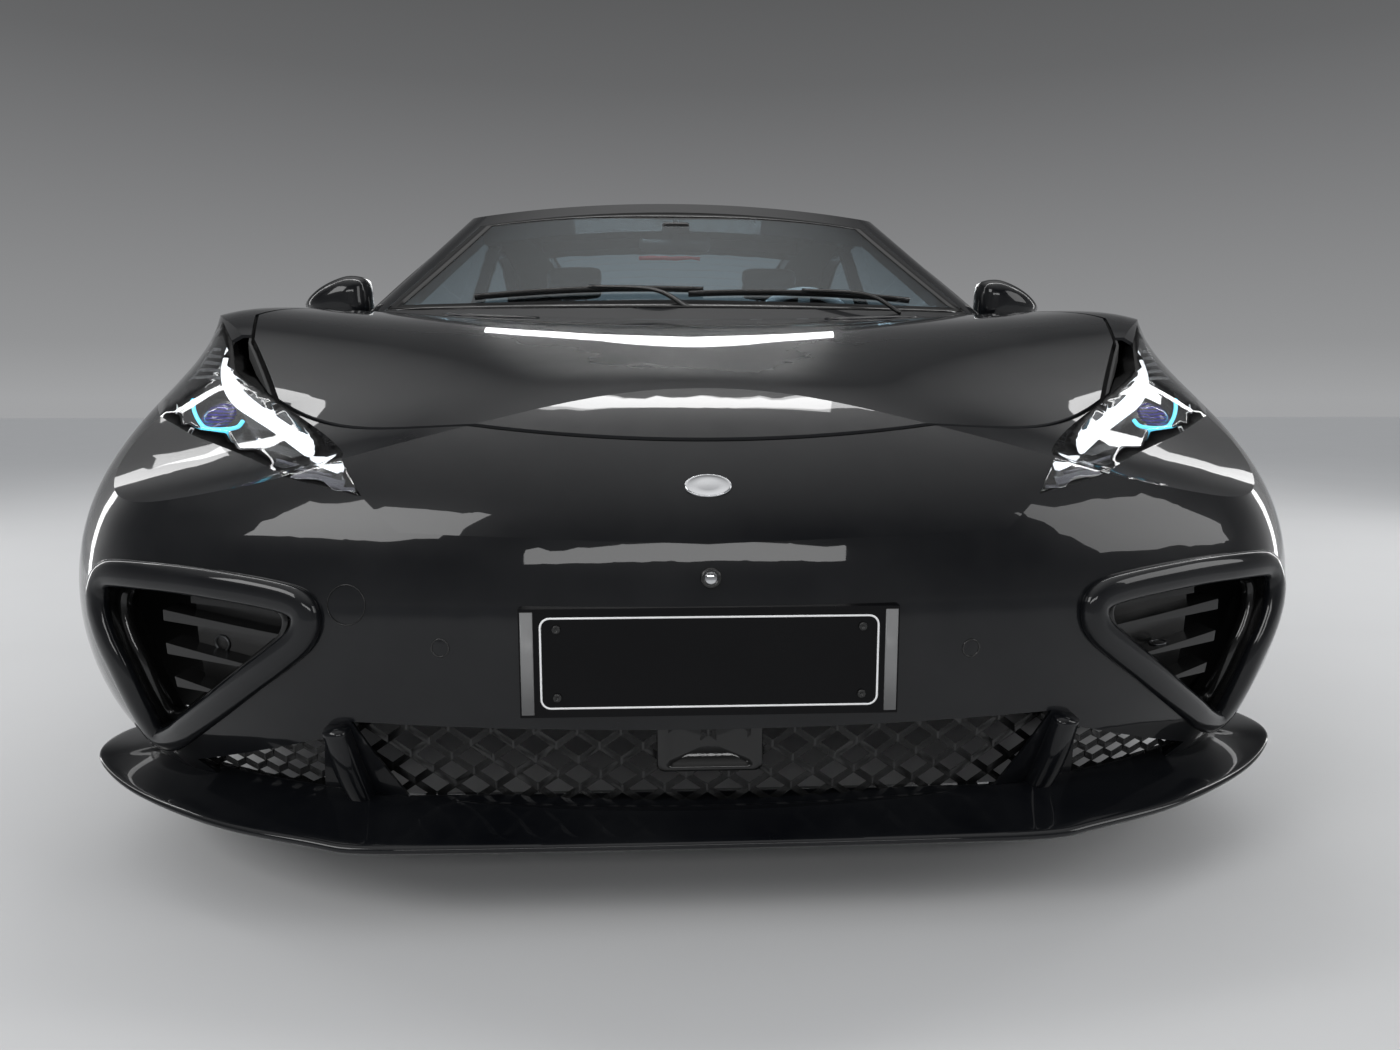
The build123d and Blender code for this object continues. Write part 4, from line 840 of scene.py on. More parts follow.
def lamp_insides():
    skin = Skin("headlamps")
    for name, values in LAMP_STRIPS.items():
        lamp_strip(name, skin, *values)
    for index in range(LOUVRES):
        v = 348 + index * 6.5
        lamp_strip(f"louvre_{index}", skin, [(1146 + index, v + 1), (1160, v), (1172 + index * 2, v + 2)],
                   [0.006, 0.008, 0.004], 0.010, 0.0015, "grey_trim")
    place, normal = skin.pixel(1160, 409)
    steps = ((1.18, 0.0), (1.18, 0.006), (1.06, 0.008), (1.0, 0.004), (0.92, 0.009), (0.7, 0.014), (0.4, 0.0165),
             (0.02, 0.017))
    for sign, side in SIDES:
        centre, up = (Vector((sign * p.x, p.y, p.z)) for p in (place, normal))
        dome(f"projector_{side}", (centre - up * 0.021, up), 0.024, steps, 32, "projector", slot="lamp")


def front_details():
    intake_frames()
    lower_trim()
    sensors()
    blank_badge()
    plate_details()
    splitter()
    lower_grilles()
    radar_cover()
    lamp_shells()
    lamp_insides()


# Wheels

TYRE_HALF, RIM_R, RIM_LIP = 0.1225, 0.238, 0.253
SPOKES, DISC_HOLES = 5, 40
WHEELS = {}
for end in ("front", "rear"):
    for sign, side in SIDES:
        low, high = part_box(f"tyre_{end}_{side}")
        WHEELS[f"{end}_{side}"] = ((low + high) / 2, sign)


def tread_rows():
    """Across the tyre: (x, radius, how much the cross grooves cut here)."""
    bead, half = 0.100, TYRE_HALF
    side = [
        (bead - 0.004, RIM_R + 0.004, 0), (bead, RIM_R + 0.012, 0), (half - 0.012, 0.262, 0), (half - 0.006, 0.270, 0),
        (half - 0.008, 0.276, 0), (half - 0.001, 0.292, 0), (half - 0.0005, 0.300, 0), (half - 0.003, 0.303, 0),
        (half - 0.002, 0.312, 0), (half - 0.005, 0.326, 0), (half - 0.008, 0.334, 0.6), (half - 0.0125, 0.342, 1),
        (half - 0.020, 0.3468, 1), (0.094, 0.3488, 1), (0.078, 0.3495, 1),
    ]
    crown = [(0.0755, 0.3495, 1), (0.0740, 0.343, 0), (0.0670, 0.343, 0), (0.0655, 0.350, 0.8), (0.046, 0.3505, 0.8),
             (0.031, 0.3507, 0.8), (0.0295, 0.3440, 0), (0.0225, 0.3440, 0), (0.021, 0.3508, 0.25), (0.0, 0.3509, 0.25)]
    rows = side + crown
    return [(-x, r, cut) for x, r, cut in rows] + [(x, r, cut) for x, r, cut in reversed(rows[:-1])]


def tyre_mesh():
    """A tyre about the origin, its axis along X, with grooves round it and across its blocks."""
    blocks, steps = 58, (0.0, 0.10, 0.15, 0.95)
    rows = tread_rows()
    verts = []
    for block in range(blocks):
        for index, step in enumerate(steps):
            for x, radius, cut in rows:
                slant = 0.55 * abs(x) / TYRE_HALF if abs(x) > 0.0705 else 1.3 * x / TYRE_HALF + 0.4
                turn = 2 * math.pi * (block + step + slant) / blocks
                r = radius - (cut * 0.0045 if index < 2 else 0)
                verts.append((x, math.sin(turn) * r, math.cos(turn) * r))
    return verts, ring_faces(blocks * len(steps), len(rows), looped=True, closed=False)


def revolved(profile, count, y=0.0, z=0.0):
    """A closed profile of (x, radius) points turned about an axis along X."""
    verts = [(x, y + math.sin(t) * r, z + math.cos(t) * r) for t in turns(count) for x, r in profile]
    return verts, ring_faces(count, len(profile), looped=True)


def spoke(turn, lean):
    """One tapered spoke with a hollowed face, from the hub to the rim."""
    stations = (
        (0.050, 0.018, 0.060, 0.030), (0.075, 0.0155, 0.068, 0.028), (0.110, 0.013, 0.078, 0.026),
        (0.150, 0.0125, 0.086, 0.024), (0.190, 0.0135, 0.091, 0.023), (0.218, 0.017, 0.093, 0.024),
        (0.234, 0.024, 0.094, 0.026),
    )
    verts = []
    for radius, half, face_x, depth in stations:
        swing = lean * (0.012 + (radius - 0.05) * 0.235)
        ring = [(-1, 0.0), (-0.93, 0.004), (-0.55, 0.0), (0, -0.004), (0.55, 0.0), (0.93, 0.004), (1, 0.0),
                (0.85, -depth), (-0.85, -depth)]
        for across, x in ring:
            off = swing + across * half
            verts.append((face_x + x, math.sin(turn) * radius + math.cos(turn) * off,
                          math.cos(turn) * radius - math.sin(turn) * off))
    return verts, ring_faces(len(stations), len(ring), True, True)


def wheel_mesh():
    barrel = [
        (0.111, RIM_LIP - 0.002), (0.109, RIM_LIP), (0.102, RIM_LIP), (0.100, RIM_R + 0.001), (0.060, RIM_R - 0.004),
        (0.030, RIM_R - 0.018), (-0.040, RIM_R - 0.016), (-0.095, RIM_R), (-0.101, RIM_LIP), (-0.109, RIM_LIP),
        (-0.111, RIM_LIP - 0.003), (-0.104, RIM_R - 0.006), (-0.040, RIM_R - 0.024), (0.030, RIM_R - 0.026),
        (0.066, RIM_R - 0.012), (0.096, RIM_R - 0.006), (0.104, 0.246),
    ]
    hub = [(0.046, 0.023), (0.046, 0.070), (0.060, 0.076), (0.070, 0.070), (0.074, 0.058), (0.070, 0.036),
           (0.066, 0.023)]
    spokes = [spoke(turn, lean) for turn in turns(SPOKES) for lean in (-1, 1)]
    return merged([revolved(barrel, 120), revolved(hub, 60), *spokes])


def cap_mesh():
    """Centre cap with a plain dished face, and the nuts round it."""
    cap = [(0.064, 0.002), (0.072, 0.030), (0.080, 0.031), (0.082, 0.028), (0.0805, 0.024), (0.083, 0.001)]
    nut = [(0.060, 0.0095), (0.079, 0.0095), (0.082, 0.0075), (0.080, 0.004), (0.074, 0.001)]
    parts = [revolved(cap, 48)]
    for index in range(SPOKES):
        turn = 2 * math.pi * (index + 0.5) / SPOKES
        parts.append(revolved(nut, 12, math.sin(turn) * 0.060, math.cos(turn) * 0.060))
    return merged(parts)


def disc_mesh():
    """A vented disc with rows of drillings as shallow dimples, and its hat."""
    profile = [(0.032, 0.085), (0.0335, 0.087), (0.0335, 0.176), (0.032, 0.178), (0.022, 0.178), (0.022, 0.100),
               (0.014, 0.100), (0.014, 0.178), (0.004, 0.178), (0.003, 0.176), (0.003, 0.084), (0.030, 0.083)]
    hat = [(0.003, 0.084), (0.003, 0.079), (0.036, 0.078), (0.0445, 0.072), (0.0445, 0.024), (0.040, 0.024),
           (0.040, 0.070)]
    hole = [(0.0336, 0.0042), (0.0339, 0.0036), (0.0337, 0.0005)]
    parts = [revolved(profile, 96), revolved(hat, 72)]
    for index, turn in enumerate(turns(DISC_HOLES)):
        radius = (0.108, 0.126, 0.144, 0.160)[index % 4]
        parts.append(revolved(hole, 10, math.sin(turn) * radius, math.cos(turn) * radius))
    return merged(parts)


def wheel_set():
    """Tyre, wheel, cap and brake disc on each corner: mesh, finish, slot and the node each stands for."""
    shapes = {"tyre": (tyre_mesh(), "tyre", "tyre", "tyre"), "wheel": (wheel_mesh(), "alloy", "alloy", "rim"),
              "cap": (cap_mesh(), "satin_black", "alloy", None),
              "disc": (disc_mesh(), "iron", "iron", "brake_disc")}
    for name, (centre, sign) in WHEELS.items():
        body = f"wheel_{name}"
        for kind, ((verts, faces), material, slot, node) in shapes.items():
            verts = [(centre.x + sign * x, centre.y + y, centre.z + z) for x, y, z in verts]
            obj = mesh_object(f"{kind}_detail_{name}", verts, faces, material, body, slot)
            sharp_edges(obj, 32)
            if node:
                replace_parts(obj, f"{node}_{name}")
            if kind == "wheel":
                modifier(obj, "BEVEL", width=0.0016, segments=2, limit_method="ANGLE", angle_limit=0.6)
        valve = [centre + Vector((sign * x, math.sin(0.63) * r, math.cos(0.63) * r))
                 for x, r in ((0.085, 0.218), (0.104, 0.206))]
        swept_object(f"valve_{name}", valve, (0, 0.3, 1), ellipse(0.0035, 0.0035, 10), "satin_black", body, "alloy")


# Glass surrounds, mirrors and side trim

SCREEN_EDGE = [(-0.786, -0.923), ((0, -1.072), (0.786, -0.923)), (0.637, -0.303), ((0, -0.353), (-0.637, -0.303))]
REAR_EDGE = [(-0.556, 0.734), ((0, 0.774), (0.556, 0.734)), (0.476, 1.636), ((0, 1.730), (-0.476, 1.636))]
QUARTER_EDGE = [(0.462, 0.964), (0.462, 1.301), ((0.900, 1.253), (1.184, 1.070)), (1.147, 1.010), (0.800, 0.982)]
BEAD_LINE = [(-0.86, 0.918), (-0.60, 1.052), (-0.20, 1.236), (0.0, 1.296), (0.25, 1.323), (0.5, 1.325), (0.80, 1.300),
             (1.05, 1.215), (1.19, 1.100)]
MIRROR_OUTLINE = [(0.879, 0.934), (0.877, 0.985), (0.884, 1.032), (0.925, 1.046), (0.975, 1.034), (1.025, 1.008),
                  (1.058, 0.978), (1.063, 0.956), (1.040, 0.935), (0.985, 0.926), (0.920, 0.924)]
MIRROR_MIDDLE = Vector((0.958, 0.978))


def glass_band(name, node, edge, band, sign=0):
    """A dark printed band inside a window's outline, given in plan, or in side view where sign is 1 or -1."""
    skin = Skin(node)
    points = [Vector(p) for p in edge]
    middle = centre_of(points)
    out = ACROSS * sign if sign else UP
    rings = []
    for share in (0.0, 0.5, 1.0):
        ring = []
        for p in points:
            a, b = p + (middle - p).normalized() * band * share
            found = skin.beside(sign, a, b) if sign else skin.above(a, b)
            if not found:
                place, normal = skin.nearest((sign * 0.8, a, b) if sign else (a, b, 1.1))
                found = place, normal if normal.dot(out) > 0 else -normal
            ring.append(found[0] + found[1] * 0.0008)
        rings.append(ring)
    obj = lofted(name, rings, "piano", last=False)
    modifier(obj, "SOLIDIFY", thickness=0.0006, offset=0)


def trim(name, skin, line, sign, body="body", half=0.004, height=0.002, material="satin_black"):
    """A thin moulding along (y, z) points on one side of the car."""
    places, ups = [], []
    for y, z in smooth_pairs(line):
        place, normal = skin.beside(sign, y, z) or skin.nearest((sign * 0.75, y, z))
        up = normal if normal.x * sign > 0 else -normal
        places.append(place + up * height * 0.6)
        ups.append(up)
    swept_object(name, places, ups, ellipse(half, height, 10, 3), material, body, "black_plastic")


def window_bands():
    glass_band("screen_frit", "windscreen", stop_path(SCREEN_EDGE, 14), 0.045)
    glass_band("rear_frit", "rear_window", stop_path(REAR_EDGE, 14), 0.032)
    bead = Skin("cabin_frame", "roof_panel", "windscreen", "rear_quarters", "quarter_glass")
    rubber = [(-0.806, 0.930), *arc_points((-0.150, 1.238), (0.150, 1.297), (0.437, 1.301), 12), (0.437, 1.301),
              (0.438, 0.98)]
    for sign, side in SIDES:
        glass_band(f"quarter_frit_{side}", "quarter_glass", stop_path(QUARTER_EDGE, 8), 0.030, sign)
        trim(f"door_glass_rubber_{side}", Skin(f"door_glass_{side}"), rubber, sign, f"door_{side}")
        trim(f"window_bead_{side}", bead, BEAD_LINE, sign, "body", 0.0045, 0.0025)


def wipers():
    """Two parked wiper blades with their arms at the foot of the windscreen."""
    skin = Skin("windscreen")
    blades = ((0.62, 0.02, -0.935, -1.012, 0.085), (0.06, -0.54, -0.985, -0.955, 0.075))
    for index, (x0, x1, y0, y1, reach) in enumerate(blades):
        plan = [(x0 + (x1 - x0) * i / 14, y0 + (y1 - y0) * i / 14) for i in range(15)]
        places, ups = on_surface([skin.above(x, y) for x, y in plan], 0.011)
        swept_object(f"wiper_blade_{index}", places, ups, ellipse(0.0055, 0.008, 10, 3), "satin_black")
        middle = places[len(places) // 2]
        pivot = Vector((x0 - 0.04, y0 - reach, middle.z - 0.055))
        knee = pivot.lerp(middle, 0.35) + Vector((0, 0, 0.03))
        arm = catmull([pivot, knee, middle + ups[0] * 0.008], 8)
        swept_object(f"wiper_arm_{index}", arm, (0, -0.4, 1), ellipse(0.0075, 0.005, 10, 3), "satin_black",
                     scale=[(1.3 - 0.7 * i / len(arm), 1) for i in range(len(arm))])


def mirror_ring(sign, share, y):
    """The mirror's outline in front view, shrunk about its middle, at a place along the car."""
    ring = []
    for point in catmull(MIRROR_OUTLINE, 4, True):
        p = MIRROR_MIDDLE + (point - MIRROR_MIDDLE) * share
        ring.append(Vector((sign * p.x, y + 0.10 * (p.x - MIRROR_MIDDLE.x), p.y)))
    return ring


def mirrors():
    """Tapered housing, foot, glass and shut lines of each door mirror."""
    shell_steps = ((0.10, -0.790), (0.42, -0.788), (0.66, -0.781), (0.84, -0.768), (0.94, -0.750), (0.985, -0.728),
                   (1.0, -0.706), (0.99, -0.700), (0.955, -0.6985))
    glass_steps = ((0.93, -0.7000), (0.93, -0.6975), (0.915, -0.6965), (0.5, -0.6965), (0.05, -0.6966))
    for sign, side in SIDES:
        body = f"door_{side}"
        shell = lofted(f"mirror_shell_{side}", [mirror_ring(sign, *step) for step in shell_steps], "paint", body,
                       first=True)
        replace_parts(shell, f"mirror_{side}")
        lofted(f"mirror_glass_{side}", [mirror_ring(sign, *step) for step in glass_steps], "mirror", body, first=True)
        for level, share, width, material in ((0.985, 0.972, 0.0014, "satin_black"), (0.955, 0.967, 0.0042, "piano")):
            loop = [v for v in mirror_ring(sign, share, -0.742) if v.z < level]
            loop.sort(key=lambda v: sign * v.x)
            swept_object(f"mirror_band_{side}_{level:.3f}", loop, -UP, ellipse(width, 0.0012, 10, 3),
                         material, body)
        foot = catmull([(sign * 0.858, -0.752, 0.884), (sign * 0.880, -0.752, 0.893), (sign * 0.902, -0.752, 0.915),
                        (sign * 0.918, -0.748, 0.944)], 6)
        shares = [i / len(foot) for i in range(len(foot))]
        swept_object(f"mirror_foot_{side}", foot, -ALONG, ellipse(0.013, 0.026, 16, 2.6), "satin_black", body,
                     scale=[(1.5 - 0.5 * share, 1.15 - 0.15 * share) for share in shares])


def bonnet_ovals():
    """The low oval covers near the rear edge of the bonnet."""
    skin = Skin("bonnet")
    count, oval_y = 44, -1.222
    for sign, side in SIDES:
        middle_x = sign * 0.455

        def on_bonnet(share, lift):
            return on_surface([skin.above(middle_x + a * 0.108, oval_y + b * 0.058) for a, b in circle(share, count)],
                              lift)

        places, ups = on_bonnet(1.0, 0.0)
        swept_object(f"bonnet_oval_{side}", places, ups, ellipse(0.0065, 0.0042, 12, 2.2), "paint", "bonnet",
                     closed=True)
        middle = centre_of(places)
        inner = [middle + (p - middle) * 0.86 for p in places]
        swept_object(f"bonnet_oval_step_{side}", inner, ups, ellipse(0.003, 0.0022, 10), "satin_black", "bonnet",
                     closed=True)
        rings = [on_bonnet(share, rise)[0] for share, rise in ((0.84, 0.0014), (0.6, 0.0026), (0.02, 0.0032))]
        lofted(f"bonnet_oval_face_{side}", rings, "piano", "bonnet")


def door_trim():
    """Flush handle, edge mouldings and sill strips on each side, and the charge flap, on the panels' surfaces."""
    quarter, sill, wing = Skin("rear_quarters"), Skin("sills"), Skin("front_fenders")
    for sign, side in SIDES:
        skin, body = Skin(f"door_{side}"), f"door_{side}"
        hits = []
        steps = ((1.0, 0.0002), (0.97, 0.0022), (0.86, 0.0034), (0.30, 0.0040), (0.02, 0.0040))
        for share, _ in steps:
            hits.append([skin.cast((sign * 1.4, 0.285 + y * share, 0.745 + z * share + y * share * 0.05), (-sign, 0, 0))
                         for y, z in rounded_loop(0.095, 0.0135, 0.0125, 8)])
        rings = [on_surface(row, rise)[0] for row, (_, rise) in zip(hits, steps)]
        lofted(f"door_handle_{side}", rings, "paint", body)
        swept_object(f"handle_gap_{side}", *on_surface(hits[0], 0.0002), ellipse(0.0016, 0.0006, 8), "satin_black",
                     body, closed=True)
        if sign > 0:
            flap = [quarter.beside(1, 1.62 + y, 0.80 + z) for y, z in rounded_loop(0.085, 0.075, 0.028, 6)]
            swept_object("charge_flap_gap", *on_surface(flap), ellipse(0.0017, 0.0006, 8), "satin_black", closed=True)
        line = [(y, 0.296) for y in (-0.98, -0.6, 0, 0.6, 0.88)]
        trim(f"sill_strip_{side}", sill, line, sign, "body", 0.006, 0.003, "piano")
        blade = [(-0.93, 0.165), (-0.5, 0.160), (0.0, 0.160), (0.5, 0.160), (0.86, 0.170)]
        trim(f"sill_blade_{side}", sill, blade, sign, "body", 0.010, 0.006, "paint")
        vent_line = [(-1.035, 0.700), (-0.965, 0.690), (-0.880, 0.688)]
        trim(f"wing_strip_{side}", wing, vent_line, sign, "body", 0.0055, 0.002, "piano")


# Rear

SHALLOW = ((1.0, -0.0005), (1.0, 0.35), (0.9, 0.7), (0.55, 0.95), (0.02, 1.0))
REAR_BLOCKS, HEATER_LINES = 7, 11


def rear_line(name, skin, line, half, height, material, slot="own", closed=False):
    """A thin strip along (x, z) points on the tail, cast from behind."""
    places, ups = on_surface([skin.behind(x, z) for x, z in smooth_pairs(line, 5, closed)], 0.0005)
    swept_object(name, places, ups, ellipse(half, height, 10, 4), material, "body", slot, closed)


def shallow_dome(name, found, radius, height, material):
    dome(name, found, radius, [(share, rise * height) for share, rise in SHALLOW], 28, material, slot=None)


def tail_details():
    lamp = Skin("tail_lamp")
    tenths = [x / 10 for x in range(-8, 9)]
    rear_line("tail_light_line", lamp, [(x, 0.752) for x in tenths], 0.0045, 0.0016, "glow_red")
    rear_line("tail_lamp_seam", lamp, [(x, 0.712) for x in tenths], 0.0014, 0.0008, "satin_black", None)
    bumper = Skin("rear_bumper", "rear_quarters", "diffuser")
    for sign in (-1, 1):
        for index in range(REAR_BLOCKS):
            x = 0.545 + index * 0.040
            block = [(sign * (x + 0.006 * i), 0.722 + 0.009 * i) for i in range(3)]
            rear_line(f"tail_block_{sign}_{index}", lamp, block, 0.011, 0.0014, "glow_red")
        line = [(sign * x, 0.395 + (x - 0.56) * 0.04) for x in (0.56, 0.62, 0.68, 0.74)]
        rear_line(f"reflector_{sign}", bumper, line, 0.0095, 0.0028, "reflector")
        for x in (0.30, 0.66):
            shallow_dome(f"rear_sensor_{sign}_{x:.2f}", bumper.behind(sign * x, 0.50), 0.0105, 0.0010, "paint")
        rear_line(f"plate_lamp_{sign}", bumper, [(sign * x, 0.609) for x in (0.06, 0.08, 0.10)], 0.006, 0.003, "lens")
    half = [(0.10, 0.620), (0.27, 0.615), (0.285, 0.600), (0.262, 0.472), (0.245, 0.462), (0.08, 0.460)]
    outline = [(-0.27, 0.615), (-0.10, 0.620), *half, *[(-x, z) for x, z in reversed(half[2:])]]
    rear_line("plate_recess_edge", bumper, outline, 0.0035, 0.0022, "satin_black", closed=True)
    shallow_dome("rear_camera", bumper.behind(0, 0.632), 0.0095, 0.006, "satin_black")
    rear_line("bumper_crease", bumper, [(x, 0.372 + 0.02 * x * x) for x in tenths], 0.0022, 0.0012, "satin_black")
    glass_skin = Skin("rear_window")
    for index in range(HEATER_LINES):
        y, reach = 0.86 + index * 0.072, 0.50 - index * 0.008
        hits = [glass_skin.cast((-reach + 2 * reach * i / 16, y, 0.5), UP) for i in range(17)]
        path = [hit[0] - UP * 0.0006 for hit in hits if hit]
        swept_object(f"heater_line_{index}", path, -UP, ellipse(0.0009, 0.0004, 6), "copper")
    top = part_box("rear_window")[1].z
    bar = [(x / 100, 0.835, top - 0.062 - 0.05 * (x / 100) ** 2) for x in range(-14, 15, 2)]
    swept_object("high_brake_light", bar, (0, 0.6, 0.8), ellipse(0.006, 0.011, 10, 4), "glow_red_dim")


# Seats


def slab(name, low, high, edge, material, slot, crown=0.0, taper=0.0):
    """A moulded block between two corners: rounded edges, drafted sides and a crowned top."""
    (x0, y0, z0), (x1, y1, z1) = low, high
    work = bmesh.new()
    n = 7
    grid = {}
    for level in range(2):
        for i in range(n):
            for j in range(n):
                u, v = i / (n - 1), j / (n - 1)
                draft = taper if level else 0
                x = x0 + (x1 - x0) * (u * (1 - 2 * draft) + draft)
                y = y0 + (y1 - y0) * (v * (1 - 2 * draft) + draft)
                lift = crown * (1 - (2 * u - 1) ** 2) * (1 - (2 * v - 1) ** 2) if level else 0
                grid[level, i, j] = work.verts.new((x, y, (z1 if level else z0) + lift))
    for level in range(2):
        for i in range(n - 1):
            for j in range(n - 1):
                ring = [grid[level, i, j], grid[level, i + 1, j], grid[level, i + 1, j + 1], grid[level, i, j + 1]]
                work.faces.new(ring if level else list(reversed(ring)))
    last = range(n - 1)
    rim = [(i, 0) for i in last] + [(n - 1, j) for j in last]
    rim += [(n - 1 - i, n - 1) for i in last] + [(0, n - 1 - j) for j in last]
    for a, b in zip(rim, rim[1:] + rim[:1]):
        work.faces.new([grid[0, a[0], a[1]], grid[0, b[0], b[1]], grid[1, b[0], b[1]], grid[1, a[0], a[1]]])
    obj = bmesh_object(name, work, material, "body", slot)
    modifier(obj, "BEVEL", width=edge, segments=4, limit_method="ANGLE", angle_limit=0.7)


# Outlines of the pads in side view, as (y, z) stops, with how far they reach across and their sewn channels,
# each a plane (axis, place)
SEAT_X = 0.380
SEAT_PADS = [
    ("cushion", [(-0.455, 0.345), ((-0.478, 0.392), (-0.440, 0.418)), ((-0.20, 0.443), (0.055, 0.415)), (0.120, 0.330)],
     (-0.135, 0.135), [(1, -0.33), (1, -0.21), (1, -0.09)]),
    ("cushion_side", [(-0.420, 0.330), ((-0.440, 0.405), (-0.380, 0.438)), ((-0.15, 0.465), (0.060, 0.440)),
                      (0.130, 0.330)], (0.145, 0.228), []),
    ("back", [(0.060, 0.440), ((0.105, 0.76), (0.185, 1.030)), (0.260, 1.020), ((0.222, 0.70), (0.165, 0.430))],
     (-0.135, 0.135), [(2, 0.60), (2, 0.72), (2, 0.84), (2, 0.95)]),
    ("back_side", [(0.040, 0.470), ((0.070, 0.72), (0.170, 0.960)), (0.245, 0.950), ((0.215, 0.70), (0.160, 0.440))],
     (0.140, 0.220), []),
    ("head", [(0.210, 1.085), ((0.218, 1.150), (0.232, 1.200)), (0.278, 1.200), (0.282, 1.085)], (-0.105, 0.105),
     [(2, 1.14)]),
]
REAR_PADS = [
    ("rear_cushion", [(0.530, 0.300), ((0.505, 0.380), (0.545, 0.418)), ((0.68, 0.428), (0.815, 0.408)),
                      (0.860, 0.300)], (0.050, 0.600), [(0, 0.18), (0, 0.47)]),
    ("rear_back", [(0.830, 0.430), ((0.880, 0.62), (0.945, 0.825)), (0.975, 0.820), (0.975, 0.430)], (0.050, 0.600),
     [(0, 0.18), (0, 0.47)]),
]
SHELL_STOPS = [(0.168, 0.430), ((0.236, 0.70), (0.268, 1.035)), (0.292, 1.045), ((0.262, 0.70), (0.196, 0.405))]
PAD_FILL, PAD_SWELL, CLOTH_FRAMES = 0.75, 0.012, 20
VOXEL, QUICK_VOXEL = 0.0085, 0.012
CHANNEL_DEPTH, CHANNEL_HALF = 0.006, 0.012


def side_shell(stops, stations):
    """Rings of a side-view outline, resized about its middle at each (x, size) station."""
    points = [Vector(p) for p in stop_path(stops, 4)]
    middle = centre_of(points)
    return [[(x, *(middle + (p - middle) * size)) for p in points] for x, size in stations]


def pad(name, stops, reach, shift, channels):
    """A stuffed pad: its outline carried across, remeshed, blown up as cloth, then sewn channels pressed in."""
    low, high = reach
    stations = ((0.0, 0.80), (0.06, 0.95), (0.16, 1.0), (0.5, 1.0), (0.84, 1.0), (0.94, 0.95), (1.0, 0.80))
    rings = side_shell(stops, [(low + (high - low) * share + shift, size) for share, size in stations])
    obj = lofted(name, rings, "leather", first=True)
    stuffed(obj)
    press_channels(obj, channels)
    return obj


def mirrored_pad(obj, name, middle=0.0):
    """A copy of a pad, mirrored about a plane across the car."""
    copy = obj.copy()
    copy.data = obj.data.copy()
    copy.name = name
    for v in copy.data.vertices:
        v.co.x = 2 * middle - v.co.x
    SCENE.collection.objects.link(copy)
    copy.data.flip_normals()
    return copy


def stuffed(obj):
    """Blows a closed shape up as cloth and keeps the result, no point moving further than the cap."""
    modifier(obj, "REMESH", mode="VOXEL", voxel_size=VOXEL)
    apply_modifiers(obj)
    start = [v.co.copy() for v in obj.data.vertices]
    cloth = obj.modifiers.new("cloth", "CLOTH")
    settings = {"use_pressure": True, "uniform_pressure_force": 4.0, "quality": 4, "tension_stiffness": 22,
                "compression_stiffness": 22, "bending_stiffness": 2.0}
    for key, value in settings.items():
        setattr(cloth.settings, key, value)
    cloth.settings.effector_weights.gravity = 0
    cloth.point_cache.frame_start = 1
    cloth.point_cache.frame_end = CLOTH_FRAMES
    for step in range(1, CLOTH_FRAMES + 1):
        SCENE.frame_set(step)
    apply_modifiers(obj)
    for v, before in zip(obj.data.vertices, start):
        move = v.co - before
        if move.length > PAD_SWELL:
            v.co = before + move * (PAD_SWELL / move.length)
    SCENE.frame_set(1)
    modifier(obj, "SMOOTH", factor=0.5, iterations=4)
    apply_modifiers(obj)


def press_channels(obj, channels):
    """Presses sewn channels into a pad."""
    normals = [v.normal.copy() for v in obj.data.vertices]
    for v, normal in zip(obj.data.vertices, normals):
        press = 0.0
        for axis, place in channels:
            away = abs(v.co[axis] - place)
            if away < CHANNEL_HALF:
                press = max(press, (1 - away / CHANNEL_HALF) ** 1.5)
        v.co -= normal * press * CHANNEL_DEPTH


def seat_frame(name, shift):
    """Back shell, base, runners and head pad posts of one front seat."""
    stations = ((-1.0, 0.0), (-0.98, 0.5), (-0.9, 1.0), (-0.45, 1.15), (0, 1.2), (0.45, 1.15), (0.9, 1.0), (0.98, 0.5),
                (1.0, 0.0))
    rings = side_shell(SHELL_STOPS, [(shift + share * 0.224, 0.92 + 0.08 * size) for share, size in stations])
    shell = lofted(f"seat_shell_{name}", rings, "black_plastic", slot="seat", first=True)
    slab(f"seat_base_{name}", (shift - 0.205, -0.43, 0.302), (shift + 0.205, 0.13, 0.345), 0.014, "black_plastic",
         "seat", 0.004, 0.02)
    for side in (-1, 1):
        x, post_x = shift + side * 0.195, shift + side * 0.045
        slab(f"seat_runner_{name}_{side}", (x - 0.014, -0.42, 0.262), (x + 0.014, 0.10, 0.302), 0.004, "steel", "seat",
             0.0, 0.01)
        post = catmull([(post_x, 0.235, 1.02), (post_x, 0.240, 1.05), (post_x, 0.246, 1.10)], 4)
        swept_object(f"head_post_{name}_{side}", post, ACROSS, ellipse(0.006, 0.006, 12), "chrome", slot="seat")
    return shell


def seats():
    for kind, stops, reach, channels in SEAT_PADS:
        made = pad(f"seat_{kind}_left", stops, reach, SEAT_X, channels)
        mirrored_pad(made, f"seat_{kind}_right")
        if reach[0] > 0:
            inner = mirrored_pad(made, f"seat_{kind}_left_inner", SEAT_X)
            mirrored_pad(inner, f"seat_{kind}_right_inner")
    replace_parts(seat_frame("left", SEAT_X), "front_seats")
    seat_frame("right", -SEAT_X)
    for kind, stops, reach, channels in REAR_PADS:
        made = pad(f"{kind}_left", stops, reach, 0, channels)
        mirrored_pad(made, f"{kind}_right")
        if kind == "rear_cushion":
            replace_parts(made, "rear_seat")
    slab("rear_seat_base", (-0.60, 0.53, 0.262), (0.60, 0.97, 0.318), 0.02, "black_plastic", "seat", 0.0, 0.005)
    slab("rear_armrest", (-0.048, 0.60, 0.318), (0.048, 0.96, 0.470), 0.018, "trim", "seat", 0.006, 0.02)


# Dashboard, console and doors inside


